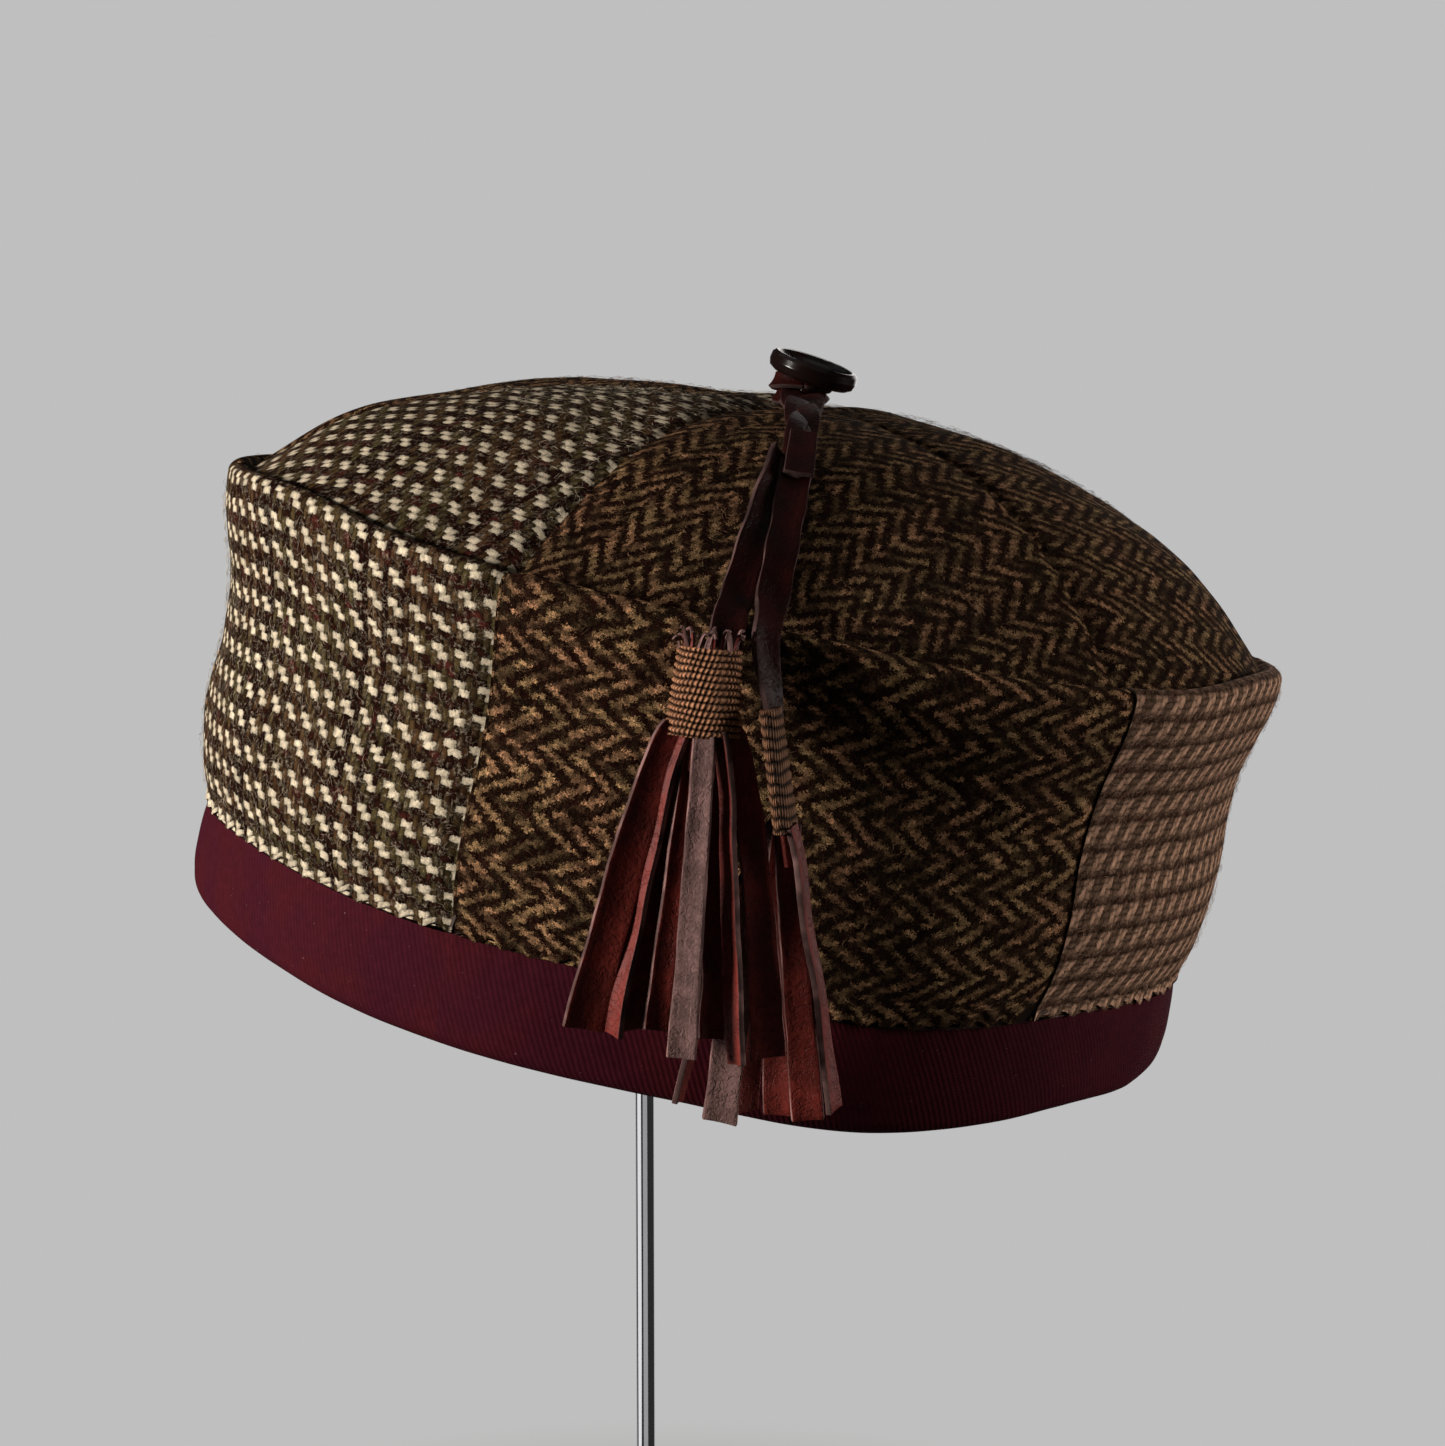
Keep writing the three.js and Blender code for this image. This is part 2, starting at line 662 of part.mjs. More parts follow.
function headGeometry(top) {
  const domeRows = 5;
  const dome = Array.from({ length: domeRows + 1 }, (_, i) => {
    const radius = headRadius * (1 - i / domeRows);
    return [radius, top - headSphere + Math.sqrt(headSphere ** 2 - radius ** 2)];
  });
  const edge = dome[0][1] - headEdge;
  const hole = rodRadius + rodClearance;
  return standing([
    [0, edge + headSocketDepth], [hole, edge + headSocketDepth], [hole, edge], [headRadius, edge],
    ...dome,
  ], roundSides);
}

function baseGeometry() {
  const hole = rodRadius + rodClearance;
  const boss = baseThickness + bossHeight;
  return standing([
    [0, 0], [baseRadius, 0], [baseRadius, baseThickness - baseBevel],
    [baseRadius - baseBevel, baseThickness], [bossRadius, baseThickness],
    [bossRadius * 0.8, boss], [hole, boss], [hole, socketFloor], [0, socketFloor],
  ], roundSides);
}

function rodGeometry(top) {
  const edge = top - headSphere + Math.sqrt(headSphere ** 2 - headRadius ** 2) - headEdge;
  const low = socketFloor + rodClearance;
  const high = edge + headSocketDepth - rodClearance;
  const rod = new THREE.CylinderGeometry(rodRadius, rodRadius, high - low, 16);
  return rod.rotateX(Math.PI / 2).translate(0, 0, (low + high) / 2);
}

// The assembly
const panels = [
  { name: 'front', side: darkTweed, tip: darkTweed },
  { name: 'right', side: roseTweed, tip: darkTweed },
  { name: 'back_right', side: darkTweed, tip: darkTweed },
  { name: 'back', side: creamTweed, tip: creamTweed },
  { name: 'back_left', side: darkTweed, tip: darkTweed },
  { name: 'left', side: creamTweed, tip: creamTweed },
];

const apex = crownPoint(0, 0);
capPlace.add(piece('band', bandGeometry(), wineTwill));
panels.forEach(({ name, side, tip }, panel) => {
  const columns = panelColumnsAt(panel);
  capPlace.add(piece(`side_${name}`, loft(columns.map(sideSection)), side));
  capPlace.add(piece(`tip_${name}`, loft(columns.map(crownSection)), tip));
});
const button = piece('button', buttonGeometry(), horn);
button.position.copy(apex);
button.rotation.y = buttonTilt;
capPlace.add(button);
capPlace.add(piece('thong_plait', thongGeometry(apex), brownLeather));

const assembly = new THREE.Group();
assembly.add(capPlace);
tassels.forEach((tassel) => {
  const { side } = tassel;
  assembly.add(piece(`strap_${side}`, strapGeometry(tassel), brownLeather));
  assembly.add(piece(`tassel_${side}_wrap`, wrapGeometry(tassel), wrapThread));
  assembly.add(piece(`tassel_${side}_fringe`, fringeGeometry(tassel), brownLeather));
});

const standTop = headTop();
assembly.add(piece('stand_base', baseGeometry(), chrome));
assembly.add(piece('stand_rod', rodGeometry(standTop), chrome));
assembly.add(piece('stand_head', headGeometry(standTop), blackPaint));

export default assembly;
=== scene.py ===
"""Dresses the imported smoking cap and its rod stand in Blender 4.5.

The cap's band, side panels and crown wedges are cloth sheets, its thong, straps and fringes are
leather, and the stand is chrome with a black head. Lengths are in metres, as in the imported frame.
"""

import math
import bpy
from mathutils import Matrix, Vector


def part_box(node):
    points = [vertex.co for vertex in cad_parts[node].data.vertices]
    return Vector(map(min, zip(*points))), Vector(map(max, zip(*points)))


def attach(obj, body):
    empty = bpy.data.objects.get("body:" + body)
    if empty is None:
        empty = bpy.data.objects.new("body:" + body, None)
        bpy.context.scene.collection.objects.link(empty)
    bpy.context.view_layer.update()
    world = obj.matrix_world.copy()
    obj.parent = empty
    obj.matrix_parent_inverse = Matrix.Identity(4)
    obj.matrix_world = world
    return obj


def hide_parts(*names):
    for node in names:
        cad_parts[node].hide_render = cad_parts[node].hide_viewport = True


bl_info = {
    "name": "Smoking Cap on a Rod Stand",
    "version": (1, 0, 0),
    "blender": (4, 5, 0),
    "location": "3D View > Sidebar > Smoking Cap",
    "description": "Models and finishes a pieced tweed smoking cap with leather tassels",
    "category": "Object",
}

import bpy
import numpy as np
from mathutils import Matrix, Vector

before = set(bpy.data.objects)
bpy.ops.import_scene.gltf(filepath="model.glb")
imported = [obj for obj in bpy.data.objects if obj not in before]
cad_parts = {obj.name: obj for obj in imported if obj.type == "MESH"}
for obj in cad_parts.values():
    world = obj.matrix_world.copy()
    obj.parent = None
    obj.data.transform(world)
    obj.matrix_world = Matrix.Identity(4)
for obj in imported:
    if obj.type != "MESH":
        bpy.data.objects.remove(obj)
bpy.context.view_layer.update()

MM = 0.001
BODY = "root"

# The cap's form, as its solids have it
PANELS = ("front", "right", "back_right", "back", "back_left", "left")
FIRST_SEAM = math.radians(-25.5)
FRONT_SPAN = math.radians(65)
BAND_FALL = (0.003, 0.045)
RIDGE_FALL = (0.021, 0.074)
RIM_CORNER = 0.8 * MM
RIDGE_CORNER = 1.2 * MM
RIDGE_SHIFT = 1.2 * MM
SAG_DEPTH = 2.2 * MM
RIDGE_LIFT = 2.3 * MM
GORE_PUFF = 1.2 * MM
DOME_LEAN = 2.1 * MM
DOME_POWER = 3
APEX_SHIFT = 3 * MM
APEX_HOLE = 2.4 * MM
BAND_SWELL = 0.8 * MM
HEM_SHARE = 0.06
HEM_TUCK = 0.9 * MM
NOISE_WAVES = 9
SEAM_GAP = 0.3 * MM
REST_GAP = 0.35 * MM
SEAM_CREASE = 0.8 * MM
SHALLOW_CREASE = 0.25 * MM
FOLDED_RISE = 0.1 * MM

# The cloths' check repeat, the spacing of the check's yarns in mm, and the run of a seam's puckers
CHECK_REPEAT = 5.3 * MM
CHECK_PITCH = 1.33
SEAM_PUCKER = 2.6 * MM

# How far from a seam its crease, the hold it has on the cloth, and its puckers reach
SEAM_WIDTH = 1.5 * MM
SEAM_HOLD = 3 * MM
PUCKER_REACH = 5 * MM

# Level and out of the band and of a side panel, as shares of their height and of their swell
BAND_ROWS = ((0, -1.4), (0.08, 0.2), (0.24, 1), (0.5, 1), (0.8, 0.3), (1, -0.6))
SIDE_ROWS = (
    (0, -0.08), (0.05, 0.18), (0.15, 0.46), (0.3, 0.56), (0.5, 0.38), (0.7, 0.52), (0.8, 0.76),
    (0.88, 0.94), (0.94, 1), (1, 1),
)

# Turn and spread in degrees, and share, of the band's sags and of the ridge's lifts
BAND_SAGS = ((19, 15, 1), (50, 13, -0.75))
RIDGE_LIFTS = ((-60, 16, 1), (25, 14, -0.45), (72, 18, 1))

# The seams beside the rose panel, which lie nearly flat
SHALLOW_SEAMS = (1, 2)

# Turn, spread and height in mm of the soft fullness at the crown's two ends
CROWN_BULGES = ((-95, 32, 2.8), (85, 30, 1.8))

# The crown's brim: its lift in mm all round and where it stands up most, and how far it reaches out
BRIM_PLACE = ((-50, 28, 1),)
BRIM_LIFT = (0.9, 2.3)
BRIM_REACH = 0.013

# How the cap stands
CAP_PLACE = Vector((7.6 * MM, 4.8 * MM, 160 * MM))
CAP_ROLL = math.radians(10.5)
CAP_PITCH = math.radians(5.9)
CAP_MATRIX = (
    Matrix.Translation(CAP_PLACE)
    @ Matrix.Rotation(CAP_ROLL, 4, "Y")
    @ Matrix.Rotation(CAP_PITCH, 4, "X")
)
CAP_TURNED = np.array(CAP_MATRIX.to_3x3())
CAP_UPRIGHT = CAP_TURNED[:, 2]

# Cloth of each panel: material of the side and of the wedge, and the turn of its weave in degrees
CLOTHS = {
    "front": ("herringbone_side", 0, "herringbone_tip_painted_shade", 48),
    "right": ("check_rose", 90, "herringbone_tip_painted_shade", -20),
    "back_right": ("herringbone_side", 0, "herringbone_tip_painted_shade", 30),
    "back": ("check_cream", 0, "check_cream_tip_painted_shade", 90),
    "back_left": ("herringbone_side", 0, "herringbone_tip_painted_shade", 0),
    "left": ("check_cream", 0, "check_cream_tip_painted_shade", 8),
}

# How the thong is plaited, and its loops: radius, height, tilt and width in mm
PLAIT_TURN = math.radians(0.5)
PLAIT_TURNS = 1.15
LOOPS = ((4.6, 2.6, 0.7, 3.2), (5.2, 4.9, -0.8, 3.4))
PLAIT_START = 3 * MM
PLAIT_POINTS = 150
TAB_POINTS = 32
TAB_WIDTH = 5.3 * MM

# Widths of the plait and of one strand in mm at the button, and how much narrower they end
PLAIT_WIDTH = (9.8, 4.7)
STRAND_WIDTH = (4.8, 1.7)

# The button: its tilt, its shank, and its outline upwards in shares of its radius and thickness
BUTTON_COLUMNS = 96
BUTTON_TILT = math.radians(8)
BUTTON_SEAT = 4.85 * MM
BUTTON_ROOM = math.radians(4)
SHANK_RADIUS = 2 * MM
SHANK_FOOT = 0.1 * MM
BUTTON_OUTLINE = (
    (0.6, 0), (0.84, 0.06), (0.96, 0.22), (1, 0.5), (0.985, 0.82), (0.91, 0.99), (0.84, 0.97),
    (0.76, 0.78), (0.62, 0.66), (0.3, 0.64), (0, 0.64),
)

# The stand: its head's sphere, the base's plate, collar and foot rim, and the hollow under it
HEAD_SPHERE = 62 * MM
BASE_PLATE = 6 * MM
COLLAR_RADIUS = 8 * MM
FOOT_RIM = 5 * MM
FOOT_HOLLOW = 0.6 * MM

# The tassels: where each crosses the ridge, how it hangs, and its wrap and strap; the strips as
# beside, ahead and reach in fringe lengths, width in strip widths, turn in degrees, outer side,
# and bow in mm
STRIP_WIDTH = 5 * MM
WRAP_COLUMNS = 112
WRAP_ROWS_PER_TURN = 12
STRAP_LEAVES_CROWN = 0.955
TASSELS = (
    {
        "name": "left", "turn": math.radians(-5), "lean": -0.09, "spin": 0.0,
        "standoff": 5.2 * MM, "drop": 4.5 * MM, "wrap": 15.5 * MM, "ribs": 13,
        "top_width": 11.256 * MM, "end_width": 13.4 * MM, "depth": 0.55,
        "clear": -7 * MM, "beside": 3.1 * MM, "sidle": math.radians(1.6),
        "aside": 1.6 * MM, "tufts": 22, "thread": "wound_thread",
        "twist_places": (0, 0.25, 0.6, 1), "twists": (48, 30, 6, 0), "widths": (0.8, 0.95, 1.05),
        "strips": (
            (-0.3, 0.02, 0.97, 1.48, 12, "grain", 1.5), (-0.2, 0.03, 0.98, 0.84, -30, "grain", 0.5),
            (-0.14, -0.06, 0.98, 1, 30, "grain", 0), (-0.065, 0.02, 0.955, 0.92, 12, "grain", 1),
            (0.025, 0.1, 1.02, 1, -4, "suede", 1), (0.06, -0.09, 0.95, 1, 40, "grain", 0),
            (0.115, -0.03, 0.98, 1, 25, "grain", 0), (0.205, 0.06, 1.035, 0.84, -45, "grain", 1),
            (0.305, 0.01, 1.015, 1.24, 8, "grain", 1.5),
        ),
    },
    {
        "name": "right", "turn": math.radians(-0.5), "lean": 0.13, "spin": math.radians(75),
        "standoff": 4.576 * MM, "drop": 13.5 * MM, "wrap": 21.545 * MM, "ribs": 11,
        "top_width": 8.442 * MM, "end_width": 9.648 * MM, "depth": 0.42,
        "clear": -5 * MM, "beside": 0.0, "sidle": math.radians(0.7),
        # Its thread is the darker copy, with painted shade.
        "aside": 0.5 * MM, "tufts": 0, "thread": "wound_thread_painted_shade",
        "twist_places": (0, 0.5, 0.8, 1), "twists": (0, 6, 34, 62), "widths": (1, 1, 0.8),
        "strips": (
            (-0.47, -0.2, 0.885, 0.6, 50, "grain", 0), (-0.34, -0.14, 0.955, 1.24, 4, "suede", 0.5),
            (-0.25, -0.19, 0.945, 1, 20, "grain", 0), (-0.145, -0.13, 0.95, 1.04, -8, "grain", 0.5),
            (-0.05, -0.1, 0.975, 1.16, 6, "grain", 0.5),
            (0.035, -0.06, 0.94, 0.8, 60, "grain", 0.5),
        ),
    },
)

# Camera and light
CAMERA_TARGET = Vector((16.15 * MM, 4.8 * MM, 208.5 * MM))
CAMERA_DISTANCE = 650 * MM
CAMERA_DROP = math.radians(8)
PHOTO_WIDTH_PIXELS = 1445
PHOTO_FOCAL_PIXELS = 3159
SENSOR_WIDTH = 36
BACKDROP_GREY = 0.521
SWEEP_RADIUS = 3
SWEEP_STEPS = 8

# Soft square lights: name, place, width, watts and colour
LIGHTS = (
    ("key_light", (-1.4, -0.58, 0.5), 0.34, 44.0, (1.0, 0.95, 0.89)),
    ("fill_light", (1.45, 0.08, 0.3), 0.5, 14.5, (1.0, 0.95, 0.9)),
    ("top_light", (-0.4, 0.0, 1.5), 0.7, 0.5, (1.0, 0.97, 0.94)),
    ("back_light", (0.5, 1.35, 0.45), 0.9, 5.0, (1.0, 0.97, 0.94)),
)

# White cards for the metal: name, place, size, turns about X and Z in degrees, and brightness
CARDS = (
    ("card_left", (-0.73, -0.34, -0.22), (1.1, 0.46), (90, 65), 1.0),
    ("card_ahead", (0.05, -0.8, -0.22), (0.85, 0.46), (90, 0), 0.42),
    ("card_behind_left", (-0.51, 0.61, -0.22), (0.8, 0.46), (90, 140), 0.5),
    ("card_behind_right", (0.34, 0.72, -0.22), (0.55, 0.46), (90, 205), 0.5),
    ("card_above", (0, 0, 1.7), (2.4, 2.4), (0, 0), 0.3),
)


class CapShape(bpy.types.PropertyGroup):
    """Sizes of the cap that a user would change."""

    rim_half_length: bpy.props.FloatProperty(
        name="Rim Half Length", description="Half of the band's outside length",
        default=100.2 * MM, unit="LENGTH",
    )
    rim_half_width: bpy.props.FloatProperty(
        name="Rim Half Width", description="Half of the band's outside width",
        default=87 * MM, unit="LENGTH",
    )
    band_height: bpy.props.FloatProperty(
        name="Band Height", description="Height of the folded band",
        default=18.5 * MM, unit="LENGTH",
    )
    band_wall: bpy.props.FloatProperty(
        name="Band Wall", description="Thickness of the folded band",
        default=2.2 * MM, unit="LENGTH",
    )
    panel_height: bpy.props.FloatProperty(
        name="Panel Height", description="Height of the side panels",
        default=65.5 * MM, unit="LENGTH",
    )
    tweed_wall: bpy.props.FloatProperty(
        name="Tweed Wall", description="Thickness of tweed and lining together",
        default=2.6 * MM, unit="LENGTH",
    )
    dome_rise: bpy.props.FloatProperty(
        name="Dome Rise", description="Rise of the crown over its gutter",
        default=35.5 * MM, unit="LENGTH",
    )
    ridge_overhang: bpy.props.FloatProperty(
        name="Ridge Overhang", description="How far the ridge stands out over the rim",
        default=6.6 * MM, unit="LENGTH",
    )
    ridge_roll: bpy.props.FloatProperty(
        name="Ridge Roll", description="Radius of the rolled ridge",
        default=2.2 * MM, unit="LENGTH",
    )
    gutter_depth: bpy.props.FloatProperty(
        name="Gutter Depth", description="Depth of the gutter inside the ridge",
        default=2.6 * MM, unit="LENGTH",
    )
    crumple: bpy.props.FloatProperty(
        name="Crumple", description="Height of the soft unevenness of the cloth",
        default=0.5 * MM, unit="LENGTH",
    )
    fibre_count: bpy.props.IntProperty(
        name="Loose Fibres", description="Loose wool fibres on each tweed panel", default=1300,
    )


class TrimSizes(bpy.types.PropertyGroup):
    """Sizes of the button, the thong and the tassels that a user would change."""

    button_radius: bpy.props.FloatProperty(
        name="Button Radius", description="Radius of the button",
        default=9 * MM, unit="LENGTH",
    )
    button_thickness: bpy.props.FloatProperty(
        name="Button Thickness", description="Thickness of the button at its rim",
        default=4.2 * MM, unit="LENGTH",
    )
    plait_length: bpy.props.FloatProperty(
        name="Plait Length", description="Length of the plaited thong",
        default=57 * MM, unit="LENGTH",
    )
    strap_width: bpy.props.FloatProperty(
        name="Strap Width", description="Width of the flat straps",
        default=6 * MM, unit="LENGTH",
    )
    leather_thickness: bpy.props.FloatProperty(
        name="Leather Thickness", description="Thickness of the straps and strips",
        default=1.1 * MM, unit="LENGTH",
    )
    fringe_length: bpy.props.FloatProperty(
        name="Fringe Length", description="Length of the longest strips",
        default=54 * MM, unit="LENGTH",
    )


class CapColours(bpy.types.PropertyGroup):
    """Colours of the cloths, the leather and the thread."""

    cream: bpy.props.FloatVectorProperty(
        name="Cream Yarn", description="Light yarn of the check", subtype="COLOR",
        default=(0.74, 0.62, 0.45),
    )
    olive: bpy.props.FloatVectorProperty(
        name="Olive Yarn", description="Ground yarn of the check", subtype="COLOR",
        default=(0.088, 0.063, 0.024),
    )
    soil: bpy.props.FloatVectorProperty(
        name="Dark Yarn", description="Dark yarn of all the tweeds", subtype="COLOR",
        default=(0.017, 0.005, 0.0026),
    )
    russet: bpy.props.FloatVectorProperty(
        name="Russet Fleck", description="Reddish flecks in the dark yarn", subtype="COLOR",
        default=(0.06, 0.014, 0.01),
    )
    tan: bpy.props.FloatVectorProperty(
        name="Tan Yarn", description="Light yarn of the herringbone", subtype="COLOR",
        default=(0.195, 0.112, 0.06),
    )
    rose: bpy.props.FloatVectorProperty(
        name="Rose Yarn", description="Light yarn of the turned check", subtype="COLOR",
        default=(0.69, 0.405, 0.265),
    )
    wine: bpy.props.FloatVectorProperty(
        name="Wine", description="Raised lines of the band's twill", subtype="COLOR",
        default=(0.046, 0.0054, 0.0085),
    )
    lining: bpy.props.FloatVectorProperty(
        name="Lining", description="Cloth that lines the cap", subtype="COLOR",
        default=(0.035, 0.024, 0.02),
    )
    leather: bpy.props.FloatVectorProperty(
        name="Leather", description="Grain side of the leather", subtype="COLOR",
        default=(0.125, 0.0155, 0.0105),
    )
    suede: bpy.props.FloatVectorProperty(
        name="Suede", description="Flesh side of the leather", subtype="COLOR",
        default=(0.195, 0.107, 0.098),
    )
    thread: bpy.props.FloatVectorProperty(
        name="Thread", description="Thread of the tassels' wraps", subtype="COLOR",
        default=(0.41, 0.186, 0.096),
    )
    horn: bpy.props.FloatVectorProperty(
        name="Button", description="Glossy brown button", subtype="COLOR",
        default=(0.006, 0.003, 0.0025),
    )


# Shader graphs
def shade(colour, *shares):
    """A colour times one share, or times one each for its red, green and blue."""
    return [c * share for c, share in zip(colour, shares if len(shares) > 1 else shares * 3)]


class Value:
    """One socket of a node, with operators that add Math nodes."""

    def __init__(self, graph, socket):
        self.graph = graph
        self.socket = socket

    def __add__(self, other):
        return self.graph.math("ADD", self, other)

    __radd__ = __add__

    def __sub__(self, other):
        return self.graph.math("SUBTRACT", self, other)

    def __rsub__(self, other):
        return self.graph.math("SUBTRACT", other, self)

    def __mul__(self, other):
        return self.graph.math("MULTIPLY", self, other)

    __rmul__ = __mul__

    def __truediv__(self, other):
        return self.graph.math("DIVIDE", self, other)

    def __pow__(self, other):
        return self.graph.math("POWER", self, other)

    def __mod__(self, other):
        return self.graph.math("FLOORED_MODULO", self, other)

    def floor(self):
        return self.graph.math("FLOOR", self)

    def absolute(self):
        return self.graph.math("ABSOLUTE", self)

    def sine(self):
        return self.graph.math("SINE", self)

    def below(self, limit):
        return self.graph.math("LESS_THAN", self, limit)

    def at_least(self, limit):
        return self.graph.math("MAXIMUM", self, limit)


class Graph:
    """The node tree of one material."""

    def __init__(self, name):
        self.material = bpy.data.materials.new(name)
        self.material.use_nodes = True
        self.tree = self.material.node_tree
        self.tree.nodes.clear()

    def node(self, kind, settings=None, inputs=None, output=0):
        """Adds a node, sets it up, feeds its sockets and gives one of its outputs."""
        made = self.tree.nodes.new(kind)
        for name, value in (settings or {}).items():
            setattr(made, name, value)
        for key, value in (inputs or {}).items():
            if isinstance(value, Value):
                self.tree.links.new(value.socket, made.inputs[key])
            else:
                made.inputs[key].default_value = value
        return Value(self, made.outputs[output]) if len(made.outputs) else None

    def math(self, operation, *values):
        """A Math node on values and numbers."""
        inputs = dict(enumerate(values))
        return self.node("ShaderNodeMath", {"operation": operation}, inputs)

    def mix(self, factor, first, second, blend="MIX"):
        """A colour between two colours."""
        inputs = {0: factor, 6: self.colour(first), 7: self.colour(second)}
        settings = {"data_type": "RGBA", "blend_type": blend}
        return self.node("ShaderNodeMix", settings, inputs, 2)

    def dimmed(self, colour, depth):
        """A colour made darker or lighter by a value."""
        return self.mix(1.0, colour, self.join(depth, depth, depth), "MULTIPLY")

    def blend(self, factor, first, second):
        """A number between two numbers."""
        return self.node("ShaderNodeMix", {"data_type": "FLOAT"}, {0: factor, 2: first, 3: second})

    @staticmethod
    def colour(value):
        """A colour socket's value with its alpha."""
        return value if isinstance(value, Value) else (*tuple(value)[:3], 1)

    def smooth(self, value, low, high):
        """0 below low and 1 above high, with a soft rise between them."""
        return self.node(
            "ShaderNodeMapRange", {"interpolation_type": "SMOOTHSTEP"},
            {"Value": value, "From Min": low, "From Max": high},
        )

    def join(self, x, y, z=0.0):
        """A vector from three values."""
        return self.node("ShaderNodeCombineXYZ", {}, {"X": x, "Y": y, "Z": z})

    def noise(self, vector, scale, detail=2.0, roughness=0.5, distortion=0.0):
        """Soft noise from 0 to 1."""
        return self.node("ShaderNodeTexNoise", {}, {
            "Vector": vector, "Scale": scale, "Detail": detail, "Roughness": roughness,
            "Distortion": distortion,
        })

    def chance(self, x, y):
        """An even random number from 0 to 1 for each pair of whole numbers."""
        settings = {"noise_dimensions": "2D"}
        return self.node("ShaderNodeTexWhiteNoise", settings, {"Vector": self.join(x, y)})

    def split(self, vector):
        """The first two parts of a vector."""
        first = self.node("ShaderNodeSeparateXYZ", {}, {"Vector": vector})
        return first, Value(self, first.socket.node.outputs["Y"])

    def cloth_place(self):
        """The place on the cloth in millimetres: across it and up it."""
        return self.split(self.node("ShaderNodeUVMap", {"uv_map": "cloth"}))

    def object_place(self):
        """The place in the part's frame."""
        return self.node("ShaderNodeTexCoord", {}, {}, "Object")

    def bump(self, height, strength, distance):
        """A normal bent by a height."""
        inputs = {"Height": height, "Strength": strength, "Distance": distance}
        return self.node("ShaderNodeBump", {}, inputs)

    def finish(self, colour, roughness, normal, shine=0.5, metallic=0.0):
        """Ends the graph in a Principled shader and gives the material."""
        shader = self.node("ShaderNodeBsdfPrincipled", {}, {
            "Base Color": self.colour(colour), "Roughness": roughness, "Normal": normal,
            "Specular IOR Level": shine, "Metallic": metallic,
        })
        self.node("ShaderNodeOutputMaterial", {}, {"Surface": shader})
        return self.material


# Cloth finishes
def loosened(graph, across, up, stray, ragged=0.7):
    """The place on the cloth, moved a little so that no yarn runs quite straight."""
    plain = graph.join(across, up)
    for scale, detail, share in ((0.16, 1.0, 2.4), (1.1, 2.0, 1), (3.1, 1.0, ragged)):
        inputs = {"Vector": plain, "Scale": scale, "Detail": detail}
        aside, upward = graph.split(graph.node("ShaderNodeTexNoise", {}, inputs, 1))
        across = across + (aside - 0.5) * (share * stray)
        up = up + (upward - 0.5) * (share * stray)
    return across, up


def twill(graph, across, up, pitch, reverse=0):
    """A twill of yarns over two and under two: where the weft is on top, and how high yarns lie.

    pitch is the yarns' spacing across and up in millimetres. With reverse, the diagonal turns
    round after that many yarns, as in a herringbone.
    """
    column = across / pitch[0]
    row = up / pitch[1]
    warp = column.floor()
    weft = row.floor()
    climb = weft
    if reverse:
        climb = reverse - (weft % (2 * reverse) - reverse).absolute()
    along = (column + climb) % 4
    weft_on_top = along.below(2)
    weft_round = 1 - ((row - weft) * 2 - 1) ** 2
    warp_round = 1 - ((column - warp) * 2 - 1) ** 2
    weft_arch = (along * (math.pi / 2)).sine().at_least(0)
    warp_arch = 0.75
    if not reverse:
        warp_arch = ((row + warp) % 4 * (math.pi / 2)).sine().absolute()
    weft_height = (0.5 + 0.5 * weft_round ** 0.5) * weft_arch ** 0.42
    warp_height = warp_round ** 0.5 * (0.35 + 0.65 * warp_arch)
    height = graph.blend(weft_on_top, warp_height * 0.8, weft_height)
    float_chance = graph.chance(((column + climb) / 4).floor(), weft)
    return weft_on_top, height, warp, weft, float_chance


def fibres_in(graph, across, up, weft_on_top):
    """Streaks of wool fibres along whichever yarn is on top."""
    along_weft = graph.noise(graph.join(across * 0.9, up * 5), 1.0, 3.0, 0.65)
    along_warp = graph.noise(graph.join(across * 5, up * 0.9), 1.0, 3.0, 0.65)
    return graph.blend(weft_on_top, along_warp, along_weft)


def stray_hairs(graph, across, up, scale, width):
    """Thin curly lines, like loose wool hairs on the cloth."""
    noise = graph.noise(graph.join(across, up, 4.0), scale, 2.0, 0.6, 0.8)
    return 1 - graph.smooth((noise - 0.5).absolute(), 0.0, width)


